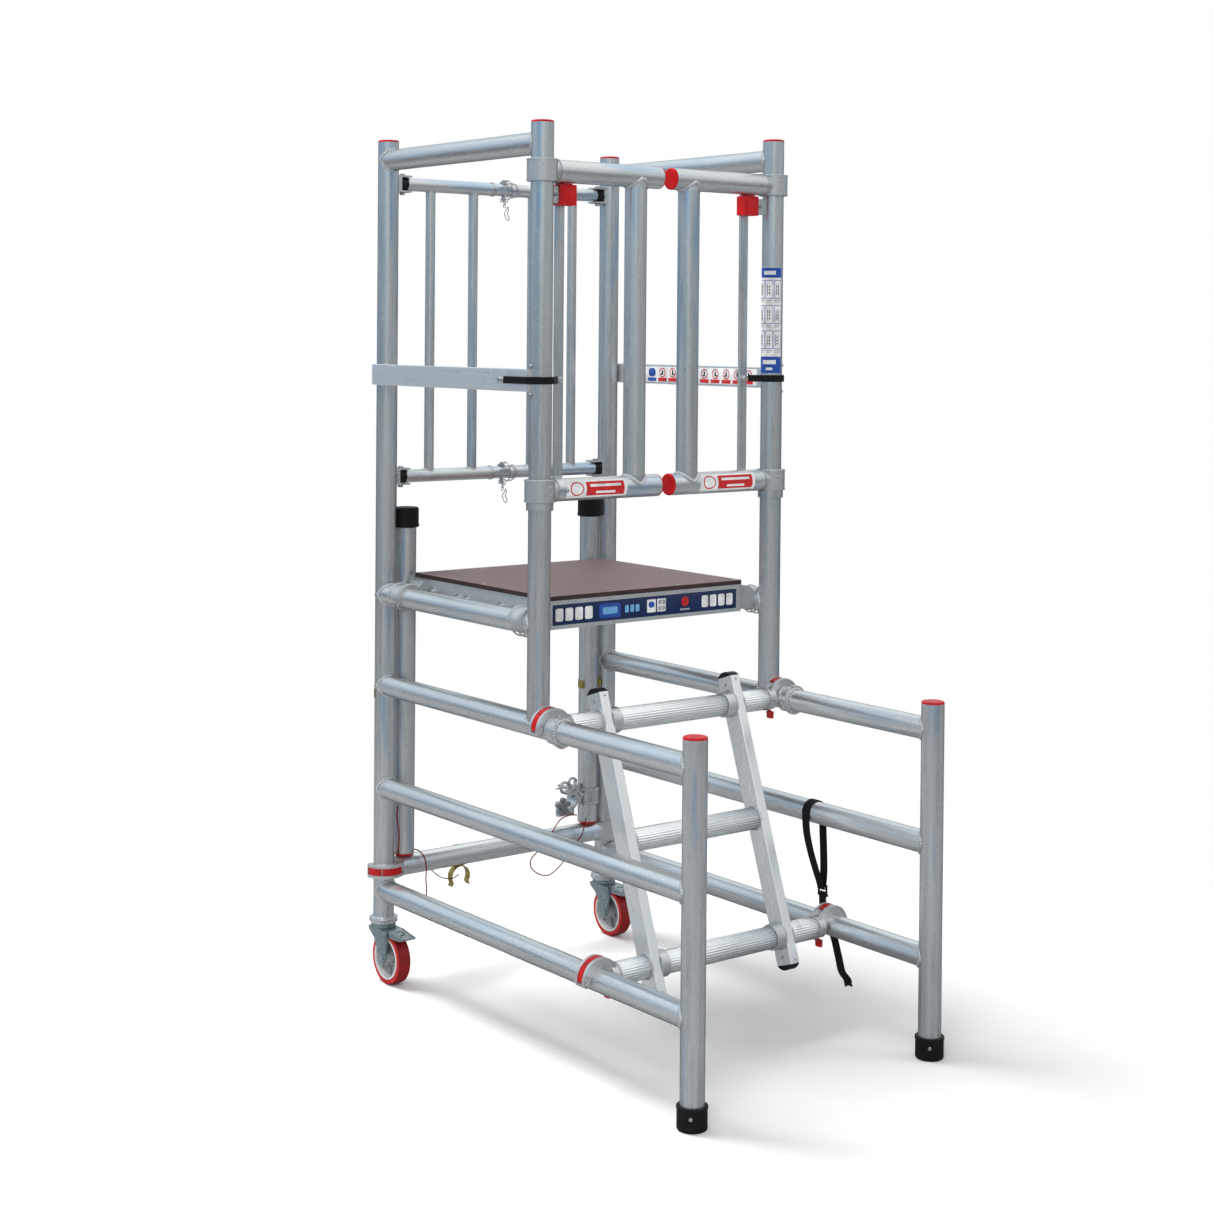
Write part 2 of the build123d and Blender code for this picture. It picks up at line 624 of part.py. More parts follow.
# ---------------------------------------------------------------- stabilisers
stab = []
stab_feet = []
clips = []
for s in (-1, 1):
    x = s * (HALF_W - STAB_OFFSET)
    stab.append(pipe((x, REAR_Y, STAB_LOW), (x, REAR_Y, STAB_HIGH)))
    stab_feet.append(rubber_foot(x, REAR_Y, STAB_HIGH + SOLE_T, -1))
    z = CLIP_Z[s]
    post_plane = Plane(origin=(s * HALF_W, REAR_Y, z), x_dir=(0, 1, 0), z_dir=(0, 0, 1))
    tube_plane = Plane(origin=(x, REAR_Y, z), x_dir=(0, 1, 0), z_dir=(0, 0, 1))
    hold = spring_clip(tube_plane, -110, 110) + band(TUBE_R + 0.05, 1.6, -80, 80, post_plane, 20)
    x0 = x + s * (TUBE_R + 0.9)
    x1 = s * (HALF_W - TUBE_R - 0.9)
    hold += block(x0, x1, REAR_Y - 1, REAR_Y + 9, z - 10, z + 10)
    clips.append(hold)
nodes["stabiliser_tubes"] = Compound(children=stab)
nodes["stabiliser_feet"] = Compound(children=stab_feet)
nodes["stabiliser_clips"] = Compound(children=clips)

stab_x = HALF_W - STAB_OFFSET
clamp = pipe((stab_x, REAR_Y, CLAMP_Z - 22), (stab_x, REAR_Y, CLAMP_Z + 22), 31.0, 5.55)
neck_y = (REAR_Y - 15, REAR_Y + 15)
clamp += block(stab_x - 30, stab_x - 46, *neck_y, CLAMP_Z - 15, CLAMP_Z + 15)
half_plane = Plane(origin=(stab_x - 76, REAR_Y, CLAMP_Z), x_dir=(1, 0, 0), z_dir=(0, 1, 0))
clamp += band(TUBE_R + 0.6, 5.5, -100, 100, half_plane, 44.0)
clamp += block(stab_x - 46, stab_x - 30, REAR_Y - 10, REAR_Y + 10, CLAMP_Z + 8, CLAMP_Z + 30)
clamp -= rod((stab_x, REAR_Y, CLAMP_Z - 60), (stab_x, REAR_Y, CLAMP_Z + 60), TUBE_R + 0.05)
stud_x = stab_x - 111
stud_z = CLAMP_Z - 10
stud_y = (REAR_Y - 34, REAR_Y - 21.9)
clamp += block(stud_x - 8, stud_x + 43, *stud_y, CLAMP_Z - 38, CLAMP_Z - 24)
clamp += block(stud_x - 8, stud_x + 8, *stud_y, CLAMP_Z - 38, stud_z + 8)
nodes["stabiliser_clamp"] = clamp
KNOB_Y = REAR_Y - 34.2
knob = rod((stud_x, KNOB_Y - 16, stud_z), (stud_x, KNOB_Y, stud_z), 11.0)
for i in range(5):
    a = math.radians(72 * i + 18)
    lobe = (stud_x + 16 * math.cos(a), stud_z + 16 * math.sin(a))
    knob += rod((lobe[0], KNOB_Y - 14, lobe[1]), (lobe[0], KNOB_Y - 3, lobe[1]), 6.5)
nodes["clamp_knob"] = knob


# ---------------------------------------------------------------- castors
def castor(s, name):
    x = s * HALF_W
    axle_y = REAR_Y - CASTOR_TRAIL
    collar = rod((x, REAR_Y, FORK_TOP + 10), (x, REAR_Y, POST_FOOT - GAP), 31.5)
    collar = chamfer(collar.edges().sort_by(Axis.Z)[-1], 2.0)
    collar += rod((x, REAR_Y, POST_FOOT - 5), (x, REAR_Y, POST_FOOT + 50), TUBE_R - WALL - 0.1)
    collar -= rod((x, REAR_Y, 100), (x, REAR_Y, 240), 12.05)
    zinc.append(collar)
    fork = rod((x, REAR_Y, FORK_TOP - 1), (x, REAR_Y, FORK_TOP + 9.95), 29.0)
    fork = chamfer(fork.edges().sort_by(Axis.Z)[-1], 1.5)
    fork += rod((x, REAR_Y, FORK_TOP), (x, REAR_Y, 200), 12.0)
    fork += block(x - 26, x + 26, axle_y - 12, REAR_Y + 26, FORK_TOP - 2.4, FORK_TOP)
    leg = [(66, FORK_TOP), (-14, FORK_TOP), (-18, 112), (-13, WHEEL_R)]
    leg += [(px, WHEEL_R + pz) for px, pz in arc_points(13, -135, -45, 2)]
    leg += [(13, WHEEL_R), (42, 108), (64, 122)]
    for side in (-1, 1):
        plane = Plane(origin=(x + side * 24, axle_y, 0), x_dir=(0, 1, 0), z_dir=(1, 0, 0))
        fork += prism(leg, plane, 4.0)
    fork += rod((x - 33, axle_y, WHEEL_R), (x + 33, axle_y, WHEEL_R), 6.0)
    for side in (-1, 1):
        head = Plane(origin=(x + side * 25.9, axle_y, WHEEL_R), z_dir=(side, 0, 0))
        fork += head * extrude(RegularPolygon(10, 6), 6.5)
    for side in (-1, 1):
        fork += rod((x + side * 17.8, axle_y - 8, 118), (x + side * 27.5, axle_y - 8, 118), 3.0)
    nodes[name + "_castor_fork"] = fork
    near = (x - WHEEL_W / 2, axle_y, WHEEL_R)
    far = (x + WHEEL_W / 2, axle_y, WHEEL_R)
    tyre = pipe(near, far, WHEEL_R, 11.5)
    shoulders = tyre.edges().filter_by(GeomType.CIRCLE).sort_by(SortBy.RADIUS)[-2:]
    nodes[name + "_castor_tyre"] = fillet(shoulders, 3.5)
    rim_r = WHEEL_R - 11.55
    rim = pipe((x - 16, axle_y, WHEEL_R), (x + 16, axle_y, WHEEL_R), rim_r, 6.0)
    disc = rod((x - 5, axle_y, WHEEL_R), (x + 5, axle_y, WHEEL_R), WHEEL_R - 15)
    boss = rod((x - 21.5, axle_y, WHEEL_R), (x + 21.5, axle_y, WHEEL_R), 15.0)
    hub = rim + disc + boss
    hub -= rod((x - 30, axle_y, WHEEL_R), (x + 30, axle_y, WHEEL_R), 6.05)
    nodes[name + "_castor_hub"] = hub
    plate = [(-16, FORK_TOP + 3), (-16, FORK_TOP), (-76, FORK_TOP - 10), (-76, FORK_TOP - 7)]
    plane = Plane(origin=(x, axle_y, 0), x_dir=(0, 1, 0), z_dir=(1, 0, 0))
    pedal = prism(plate, plane, 42.0)
    skirt = [(-16, 132), (-13, 127), (-2, 124), (-2, 112)]
    skirt += [(-13, 111), (-26, 117), (-70, 119.5), (-70, 123)]
    for side in (-1, 1):
        lane = Plane(origin=(x + side * 19.5, axle_y, 0), x_dir=(0, 1, 0), z_dir=(1, 0, 0))
        pedal += prism(skirt, lane, 3.0)
    pedal -= rod((x - 30, axle_y - 8, 118), (x + 30, axle_y - 8, 118), 3.05)
    nodes[name + "_castor_pedal"] = pedal


castor(-1, "left")
castor(1, "right")
nodes["zinc_brackets"] = Compound(children=zinc)

# ---------------------------------------------------------------- fasteners
for s in (-1, 1):
    x_bar = s * (HALF_W + TUBE_R + SIDE_BAR_T + GAP)
    bolts.append(bolt_head((x_bar, POST_Y + 100, SIDE_BAR_Z), (s, 0, 0), 6.5, 9.0))
    for dz in (-27.0, 27.0):
        x_post = s * (HALF_W + TUBE_R + 0.2)
        bolts.append(bolt_head((x_post, POST_Y - 1, SIDE_BAR_Z + dz * 1.15), (s, 0, 0), 5.0, 8.0))
    for z in (DECK_RAIL_Z, RAIL_TOP_Z):
        x_post = s * (HALF_W + TUBE_R + 0.2)
        bolts.append(bolt_head((x_post, REAR_Y, z), (s, 0, 0), 4.5, 4.0))
    bolts.append(bolt_head((s * HALF_W - 22.2, LEG_Y - 22.2, 30), (-1, -1, 0), 4.0, 2.0))
nodes["frame_fasteners"] = Compound(children=bolts + rivets)

# ---------------------------------------------------------------- soft goods
strap_plane = Plane(origin=(HALF_W, REAR_Y - 802, RAIL_Z[1]), x_dir=(1, 0, 0), z_dir=(0, -1, 0))
loop_r = TUBE_R + 1.6
loop = [(28.5, -172.0)] + arc_points(loop_r, -4, 188, 30) + [(25.0, -176.0)]
loop_strap = ribbon(loop, 2.0, strap_plane, 20.0)
tail = ribbon([(32, -200), (34, -250), (37, -320), (40, -388)], 2.0, strap_plane, 20.0)
nodes["tie_strap"] = Compound(children=[loop_strap, tail])
buckle_z = (RAIL_Z[1] - 199.5, RAIL_Z[1] - 178)
buckle = block(HALF_W + 22, HALF_W + 38, REAR_Y - 814, REAR_Y - 790, *buckle_z)
nodes["strap_buckle"] = fillet(buckle.edges().filter_by(Axis.Y), 2.5)


def lanyard(points):
    """Thin cord through a few points."""
    path = Spline(*points)
    return sweep(Plane(origin=path @ 0, z_dir=path % 0) * Circle(1.6), path=path)


right_cord = [(262, -33, 350), (266, -44, 324), (278, -46, 308), (290, -34, 320)]
left_cord = [(-262, -30, 352), (-240, -40, 318), (-228, -38, 304), (-246, -34, 330)]
cords = [[(px, REAR_Y + py, pz) for px, py, pz in row] for row in (right_cord, left_cord)]
nodes["lanyards"] = Compound(children=[lanyard(row) for row in cords])

os.makedirs("parts", exist_ok=True)
for name, shape in nodes.items():
    export_step(shape, "parts/" + name + ".step")
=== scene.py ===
import random
from math import acos, atan, atan2, cos, degrees, hypot, pi, radians, sin, sqrt

import bmesh
import bpy
from mathutils import Matrix, Vector


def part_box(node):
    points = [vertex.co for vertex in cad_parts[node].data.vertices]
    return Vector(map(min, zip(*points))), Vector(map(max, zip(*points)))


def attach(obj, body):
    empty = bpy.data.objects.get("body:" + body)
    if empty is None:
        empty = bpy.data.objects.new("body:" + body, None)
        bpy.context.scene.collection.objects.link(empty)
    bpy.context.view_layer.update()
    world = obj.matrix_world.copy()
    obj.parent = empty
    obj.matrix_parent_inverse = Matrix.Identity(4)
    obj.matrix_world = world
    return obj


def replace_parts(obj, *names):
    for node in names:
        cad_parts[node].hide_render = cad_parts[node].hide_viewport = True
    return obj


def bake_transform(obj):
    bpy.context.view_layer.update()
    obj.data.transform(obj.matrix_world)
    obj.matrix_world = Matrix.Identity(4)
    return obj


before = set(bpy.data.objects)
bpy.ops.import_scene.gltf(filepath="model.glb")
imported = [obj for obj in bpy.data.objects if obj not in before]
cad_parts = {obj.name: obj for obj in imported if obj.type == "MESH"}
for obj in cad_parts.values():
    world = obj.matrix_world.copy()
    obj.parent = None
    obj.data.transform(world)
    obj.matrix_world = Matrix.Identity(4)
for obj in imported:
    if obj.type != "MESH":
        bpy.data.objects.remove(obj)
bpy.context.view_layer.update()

SEED = random.Random(11)


def middle(node):
    lo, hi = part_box(node)
    return (lo + hi) / 2


# ------------------------------------------------------------ key positions
TUBE_R = 0.0254
HALF_W = middle("right_castor_tyre").x
REAR_Y = middle("stabiliser_tubes").y
POST_Y = middle("left_gate_caps").y
LEG_Y = middle("rubber_feet").y
RAIL_Z = (0.22, 0.471, 0.722)
DECK_RAIL_Z = 0.944
GUARD_RAIL_Z = 2.0
SIDE_BAR_Z = middle("side_bars").z
GATE_Z = (1.238, 1.94)
GATE_UPRIGHT = HALF_W - 0.262
GUARD_Z = (1.23, 1.945)
GUARD_R = 0.016
GUARD_BAR_X = (HALF_W - 0.122, HALF_W - 0.249)
SLOPE = 0.34661
TILT = atan(SLOPE)
STILE_FACE = (0.18048, 0.20552)
STUB_END = 0.28998
STILE_X = 0.193
CLAW_INSET = 0.003
BRACE_Z = 0.272
CLAMP_X, CLAMP_Z = 0.283, 0.372
X_AXIS, Y_AXIS, Z_AXIS = 0, 1, 2
EAST, NORTH, UP = Vector((1, 0, 0)), Vector((0, 1, 0)), Vector((0, 0, 1))
SIDES = ((-1, "left"), (1, "right"))


def ladder_y(z):
    return REAR_Y - 0.682 - (RAIL_Z[2] - z) * SLOPE


# ------------------------------------------------------------ shader helper
class Nodes:
    """Short calls that add nodes to one tree; most return an output socket."""

    def __init__(self, tree, coords):
        self.tree = tree
        self.coords = self.add("ShaderNodeTexCoord").outputs[coords]

    def add(self, kind, **values):
        node = self.tree.nodes.new(kind)
        for key, value in values.items():
            setattr(node, key, value)
        return node

    def feed(self, socket, value):
        if isinstance(value, bpy.types.NodeSocket):
            self.tree.links.new(value, socket)
        elif isinstance(value, tuple) and len(value) == 3 and socket.type == "RGBA":
            socket.default_value = (*value, 1.0)
        elif isinstance(value, float) and socket.type == "RGBA":
            socket.default_value = (value, value, value, 1.0)
        else:
            socket.default_value = value

    def place(self, scale, turn=None, move=(0.0, 0.0, 0.0)):
        """The tree's coordinates, turned first and then scaled."""
        source = self.coords
        if turn:
            source = self.wired("ShaderNodeMapping", {"Vector": source, "Rotation": turn}).outputs["Vector"]
        inputs = {"Vector": source, "Scale": scale, "Location": move}
        return self.wired("ShaderNodeMapping", inputs).outputs["Vector"]

    def wired(self, kind, inputs, **values):
        """Adds a node and feeds its inputs by name."""
        node = self.add(kind, **values)
        for name, value in inputs.items():
            self.feed(node.inputs[name], value)
        return node

    def noise(self, vector, scale=1.0, detail=4.0, rough=0.55):
        inputs = {"Vector": vector, "Scale": scale, "Detail": detail, "Roughness": rough}
        return self.wired("ShaderNodeTexNoise", inputs).outputs["Fac"]

    def wave(self, vector, scale, axis="X", distort=0.0):
        inputs = {"Vector": vector, "Scale": scale, "Distortion": distort}
        return self.wired("ShaderNodeTexWave", inputs, bands_direction=axis).outputs["Fac"]

    def ramp(self, fac, *stops):
        node = self.add("ShaderNodeValToRGB")
        self.feed(node.inputs["Fac"], fac)
        points = node.color_ramp.elements
        while len(points) < len(stops):
            points.new(0.5)
        for point, (place, colour) in zip(points, stops):
            point.position = place
            point.color = (*colour, 1.0) if isinstance(colour, tuple) else (colour,) * 3 + (1.0,)
        return node.outputs["Color"]

    def mix(self, fac, a, b, blend="MIX"):
        node = self.add("ShaderNodeMix", data_type="RGBA", blend_type=blend)
        self.feed(node.inputs[0], fac)
        self.feed(node.inputs[6], a)
        self.feed(node.inputs[7], b)
        return node.outputs[2]

    def over(self, colour, layer, mask, low, high, most=1.0):
        """Lays a second colour over the first where the mask rises from low to high."""
        return self.mix(self.ramp(mask, (low, 0.0), (high, most)), colour, layer)

    def calc(self, operation, *values):
        node = self.add("ShaderNodeMath", operation=operation)
        for socket, value in zip(node.inputs, values):
            self.feed(socket, value)
        return node.outputs[0]

    def split(self, vector):
        node = self.add("ShaderNodeSeparateXYZ")
        self.feed(node.inputs[0], vector)
        return node.outputs

    def radius(self, centre, axis):
        """Distance from a line along an axis through a point."""
        keep = [1.0, 1.0, 1.0]
        keep[axis] = 0.0
        move = tuple(-c * k for c, k in zip(centre, keep))
        return self.length(self.place(tuple(keep), move=move))

    def length(self, vector):
        node = self.add("ShaderNodeVectorMath", operation="LENGTH")
        self.feed(node.inputs[0], vector)
        return node.outputs["Value"]

    def clear_of(self, height, levels, half):
        """1 where a height is further than half from every level, else 0."""
        fac = None
        for level in levels:
            off = self.calc("ABSOLUTE", self.calc("SUBTRACT", height, level), 0.0)
            far = self.calc("GREATER_THAN", off, half)
            fac = far if fac is None else self.calc("MULTIPLY", fac, far)
        return fac

    def edge_on(self):
        """0 where a surface faces the eye, towards 1 where it turns away."""
        return self.wired("ShaderNodeLayerWeight", {"Blend": 0.5}).outputs["Facing"]


class Shader(Nodes):
    """One procedural material."""

    def __init__(self, name):
        self.mat = bpy.data.materials.new(name)
        self.mat.use_nodes = True
        super().__init__(self.mat.node_tree, "Object")
        self.bsdf = self.tree.nodes["Principled BSDF"]

    def put(self, **inputs):
        for name, value in inputs.items():
            self.feed(self.bsdf.inputs[name.replace("_", " ")], value)

    def bump(self, height, strength, distance=0.001):
        inputs = {"Height": height, "Strength": strength, "Distance": distance}
        node = self.wired("ShaderNodeBump", inputs)
        self.put(Normal=node.outputs["Normal"])


# ------------------------------------------------------------ metals
def drawn_metal(name, axis, turn=None, seed=0.0, second=None, level=1.0, stain_and_sky_reflection=0.75, even=0.0):
    """Extruded aluminium: die streaks along one axis, grey stains, sky-blue patches that are a painted sky reflection,
    and painted shade at grazing angles.

    second is (axis, levels, half): that axis is used where the height is clear of the levels.
    """
    s = Shader(name)
    shift = (seed, seed * 0.7, seed * 1.3)

    def lengthwise(across, along):
        scale = [across] * 3
        scale[axis] = along
        first = s.place(tuple(scale), turn, shift)
        if second is None:
            return first
        scale = [across] * 3
        scale[second[0]] = along
        other = s.place(tuple(scale), turn, shift)
        fac = s.clear_of(s.split(s.coords)[2], second[1], second[2])
        return s.mix(fac, first, other)

    streaks = s.noise(lengthwise(95.0, 1.6), 1.0, 5.0, 0.6)
    hairs = s.noise(lengthwise(620.0, 9.0), 1.0, 3.0, 0.6)
    blue = s.noise(lengthwise(34.0, 2.6), 1.0, 3.0, 0.55)
    dull = s.noise(lengthwise(30.0, 4.5), 1.0, 6.0, 0.7)
    mottle = s.noise(lengthwise(330.0, 190.0), 1.0, 4.0, 0.7)
    grain = s.noise(s.coords, 1500.0, 2.0)
    tone = s.ramp(streaks, (0.3, (0.62, 0.64, 0.65)), (0.5, (0.73, 0.75, 0.76)), (0.7, (0.84, 0.86, 0.865)))
    tone = s.mix(even, tone, (0.75, 0.77, 0.78))
    # Painted sky reflection: sky-blue patches laid into the colour of the metal. The grey patches on the next line are
    # stains.
    tone = s.over(tone, (0.34, 0.54, 0.78), blue, 0.54, 0.68, 0.7 * stain_and_sky_reflection)
    tone = s.over(tone, (0.44, 0.47, 0.47), dull, 0.52, 0.72, 0.6 * stain_and_sky_reflection)
    tone = s.mix(1.0, tone, s.ramp(mottle, (0.34, 0.88), (0.52, 1.0), (0.68, 1.08)), "MULTIPLY")
    tone = s.over(tone, (0.88, 0.89, 0.89), hairs, 0.35, 0.7, 0.16 * (1.0 - even))
    # Painted shade: the colour darkens where the surface turns away from the eye. level scales the whole colour, a
    # painted brightening or darkening set per part.
    shade = s.ramp(s.edge_on(), (0.3, level), (0.6, 0.84 * level), (0.8, 0.52 * level), (0.95, 0.24 * level))
    s.put(Base_Color=s.mix(1.0, tone, shade, "MULTIPLY"), Metallic=0.9)
    s.put(Roughness=s.ramp(streaks, (0.3, 0.25), (0.7, 0.34)))
    height = s.calc("ADD", hairs, s.calc("MULTIPLY", grain, 0.6))
    s.bump(height, 0.06, 0.0004)
    return s.mat


def cast_metal(name, tone, rough=0.5, grain=900.0, tint=(0.5, 0.55, 0.6), metallic=0.85):
    """Sand or die casting: fine pits, cloudy tone, painted shade at grazing angles."""
    s = Shader(name)
    pits = s.noise(s.coords, grain, 4.0, 0.65)
    cloud = s.noise(s.coords, 34.0, 5.0, 0.65)
    worn = s.noise(s.coords, 150.0, 5.0, 0.7)
    dark = tuple(c * 0.55 for c in tone)
    colour = s.over(dark, tone, pits, 0.36, 0.62)
    colour = s.over(colour, tint, cloud, 0.45, 0.72, 0.4)
    colour = s.over(colour, tuple(min(1.0, c * 1.25) for c in tone), worn, 0.58, 0.72, 0.6)
    # Painted shade: the colour darkens where the surface turns away from the eye.
    shade = s.ramp(s.edge_on(), (0.45, 1.0), (0.95, 0.45))
    s.put(Base_Color=s.mix(1.0, colour, shade, "MULTIPLY"), Metallic=metallic)
    s.put(Roughness=s.ramp(cloud, (0.3, rough - 0.1), (0.7, rough + 0.1)))
    s.bump(pits, 0.35, 0.0006)
    return s.mat


def moulded(name, tone, rough=0.38, scuff=(0.6, 0.6, 0.6), scuffs=0.25, grain=700.0, shine=0.3):
    """Moulded plastic, rubber or vinyl with a fine grain and a few scuffs."""
    s = Shader(name)
    grains = s.noise(s.coords, grain, 3.0, 0.6)
    cloud = s.noise(s.coords, 42.0, 4.0, 0.6)
    marks = s.noise(s.place((220.0, 60.0, 90.0), (0.3, 0.5, 0.2)), 1.0, 5.0, 0.75)
    dark = tuple(c * 0.66 for c in tone)
    colour = s.over(dark, tone, cloud, 0.3, 0.72)
    colour = s.over(colour, scuff, marks, 0.6, 0.78, scuffs)
    s.put(Base_Color=colour, Metallic=0.0, Specular_IOR_Level=shine)
    s.put(Roughness=s.ramp(grains, (0.3, rough - 0.08), (0.7, rough + 0.1)))
    s.bump(grains, 0.14, 0.0004)
    return s.mat


def woven(name, tone, light, scale, rough=0.75):
    """Webbing: warp and weft ribs with darker gaps and a little lint."""
    s = Shader(name)
    warp = s.wave(s.coords, scale, "DIAGONAL", 0.6)
    weft = s.wave(s.place((1.0, -1.0, 1.0)), scale, "DIAGONAL", 0.6)
    threads = s.calc("MAXIMUM", warp, weft)
    lint = s.noise(s.coords, 900.0, 4.0, 0.7)
    colour = s.over(tone, light, threads, 0.35, 0.85)
    colour = s.over(colour, tuple(min(1.0, c * 3.0) for c in light), lint, 0.6, 0.8, 0.5)
    s.put(Base_Color=colour, Roughness=rough, Specular_IOR_Level=0.15)
    s.bump(threads, 0.6, 0.0004)
    return s.mat


def deck_film():
    """Phenolic-faced plywood: fine anti-slip mesh, traffic dust, dark sealed edge."""
    s = Shader("phenolic_board")
    mesh_x = s.wave(s.place((1.0, 0.0, 0.0)), 95.0, "X", 0.4)
    mesh_y = s.wave(s.place((0.0, 1.0, 0.0)), 95.0, "Y", 0.4)
    mesh = s.calc("MAXIMUM", mesh_x, mesh_y)
    dust = s.noise(s.coords, 9.0, 6.0, 0.65)
    speck = s.noise(s.coords, 520.0, 4.0, 0.75)
    film = s.over((0.078, 0.05, 0.049), (0.13, 0.087, 0.085), mesh, 0.3, 0.9)
    film = s.over(film, (0.2, 0.155, 0.15), dust, 0.42, 0.74, 0.4)
    film = s.over(film, (0.24, 0.19, 0.18), speck, 0.6, 0.76, 0.7)
    geometry = s.add("ShaderNodeNewGeometry")
    top = s.ramp(s.split(geometry.outputs["Normal"])[2], (0.55, 0.0), (0.8, 1.0))
    edge = s.mix(s.ramp(s.noise(s.place((40.0, 40.0, 900.0)), 1.0, 3.0), (0.35, 0.0), (0.65, 1.0)),
                 (0.022, 0.013, 0.012), (0.055, 0.035, 0.03))
    s.put(Base_Color=s.mix(top, edge, film), Roughness=s.ramp(dust, (0.3, 0.5), (0.7, 0.64)))
    s.put(Specular_IOR_Level=0.28)
    s.bump(s.calc("ADD", mesh, s.calc("MULTIPLY", speck, 0.5)), 0.35, 0.0006)
    return s.mat


def tyre_rubber(name, centre):
    """Red polyurethane: glossy side walls and a darker, scuffed tread."""
    s = Shader(name)
    r = s.radius(centre, X_AXIS)
    tread = s.ramp(s.calc("MULTIPLY", r, 10.0), (0.585, 0.0), (0.612, 1.0))
    scuffs = s.noise(s.coords, 190.0, 6.0, 0.75)
    cloud = s.noise(s.coords, 45.0, 4.0, 0.6)
    side = s.over((0.38, 0.005, 0.006), (0.56, 0.01, 0.01), cloud, 0.35, 0.7)
    worn = s.over((0.26, 0.006, 0.007), (0.1, 0.01, 0.01), scuffs, 0.42, 0.66)
    worn = s.over(worn, (0.42, 0.16, 0.14), scuffs, 0.68, 0.8, 0.5)
    s.put(Specular_IOR_Level=0.3)
    s.put(Base_Color=s.mix(tread, side, worn), Roughness=s.ramp(cloud, (0.3, 0.26), (0.7, 0.42)))
    s.bump(scuffs, 0.2, 0.0005)
    return s.mat


def hub_plastic(name, centre):
    """Pale grey moulded wheel centre with a lighter rim ring."""
    s = Shader(name)
    r = s.calc("MULTIPLY", s.radius(centre, X_AXIS), 10.0)
    grains = s.noise(s.coords, 500.0, 4.0, 0.65)
    dirt = s.noise(s.coords, 70.0, 5.0, 0.7)
    tone = s.ramp(r, (0.14, (0.4, 0.42, 0.43)), (0.2, (0.17, 0.185, 0.19)), (0.4, (0.24, 0.26, 0.265)),
                  (0.445, (0.6, 0.62, 0.63)))
    tone = s.over(tone, (0.2, 0.2, 0.19), dirt, 0.52, 0.74, 0.55)
    s.put(Base_Color=tone, Roughness=s.ramp(grains, (0.3, 0.42), (0.7, 0.6)), Metallic=0.15)
    s.bump(grains, 0.18, 0.0005)
    return s.mat


# Copies of one aluminium. Their level values are painted light: the flat bar, stiles and fluted tubes get a much
# brighter colour, the rails a little brighter and the posts a little darker, in place of how light falls on each.
METAL_X = drawn_metal("tube_along_x", X_AXIS, seed=1.7)
METAL_Y = drawn_metal("tube_along_y", Y_AXIS, seed=4.1, level=1.05, stain_and_sky_reflection=0.4)
METAL_Z = drawn_metal("tube_along_z", Z_AXIS, seed=8.3, level=0.97, stain_and_sky_reflection=1.05)
METAL_GATE = drawn_metal("gate_tubing", X_AXIS, seed=5.9, second=(Z_AXIS, GATE_Z, 0.0256), stain_and_sky_reflection=1.05)
METAL_GUARD = drawn_metal("guard_tubing", X_AXIS, seed=2.6, second=(Z_AXIS, GUARD_Z, 0.0163), stain_and_sky_reflection=0.95)
METAL_STILE = drawn_metal("stile_extrusion", Z_AXIS, turn=(TILT, 0.0, 0.0), seed=3.2, level=1.42, stain_and_sky_reflection=0.16,
                          even=0.7)
METAL_FLUTED = drawn_metal("fluted_tubing", X_AXIS, seed=6.4, level=1.38, stain_and_sky_reflection=0.2, even=0.5)
METAL_FLAT = drawn_metal("flat_bar", Y_AXIS, seed=7.7, level=1.75, stain_and_sky_reflection=0.1, even=0.6)
CAST = cast_metal("cast_aluminium", (0.8, 0.82, 0.83), 0.38)
CAST_LIGHT = cast_metal("cast_light", (0.88, 0.89, 0.9), 0.34)
WELD = cast_metal("weld_metal", (0.86, 0.87, 0.88), 0.4, 480.0, (0.56, 0.58, 0.6), 0.8)
ZINC = cast_metal("zinc_plate", (0.4, 0.48, 0.5), 0.34, 260.0, (0.24, 0.32, 0.36))
ZINC_PALE = cast_metal("pale_zinc", (0.88, 0.91, 0.92), 0.3, 300.0, (0.5, 0.58, 0.6))
CHROME = cast_metal("bright_zinc", (0.78, 0.79, 0.8), 0.22, 500.0, (0.52, 0.56, 0.6), 0.95)
DARK_CHROME = cast_metal("dark_zinc", (0.42, 0.43, 0.44), 0.3, 420.0, (0.2, 0.21, 0.22), 0.95)
GOLD = cast_metal("yellow_passivated", (0.62, 0.43, 0.11), 0.3, 320.0, (0.42, 0.46, 0.16), 0.95)
RED = moulded("red_plastic", (0.5, 0.005, 0.007), 0.4, (0.75, 0.22, 0.22), 0.2)
RED_LATCH = moulded("red_latch", (0.47, 0.004, 0.006), 0.34, (0.75, 0.25, 0.25), 0.25)
BLACK = moulded("black_plastic", (0.007, 0.007, 0.008), 0.36, (0.14, 0.14, 0.15), 0.2, shine=0.24)
RUBBER = moulded("black_rubber", (0.006, 0.006, 0.007), 0.55, (0.09, 0.09, 0.09), 0.25, 420.0, 0.22)
WEBBING = woven("black_webbing", (0.003, 0.003, 0.003), (0.011, 0.011, 0.012), 420.0)
RED_CORD = woven("red_cord", (0.07, 0.002, 0.003), (0.22, 0.006, 0.008), 620.0, 0.65)
BLACK_CORD = woven("black_cord", (0.004, 0.004, 0.004), (0.014, 0.014, 0.015), 620.0, 0.65)
VINYL_WHITE = moulded("white_vinyl", (0.78, 0.79, 0.8), 0.3, (0.5, 0.5, 0.48), 0.35)
VINYL_NAVY = moulded("navy_vinyl", (0.01, 0.022, 0.085), 0.26, (0.2, 0.24, 0.34), 0.2)
VINYL_BLUE = moulded("blue_vinyl", (0.02, 0.075, 0.36), 0.28, (0.45, 0.52, 0.66), 0.25)
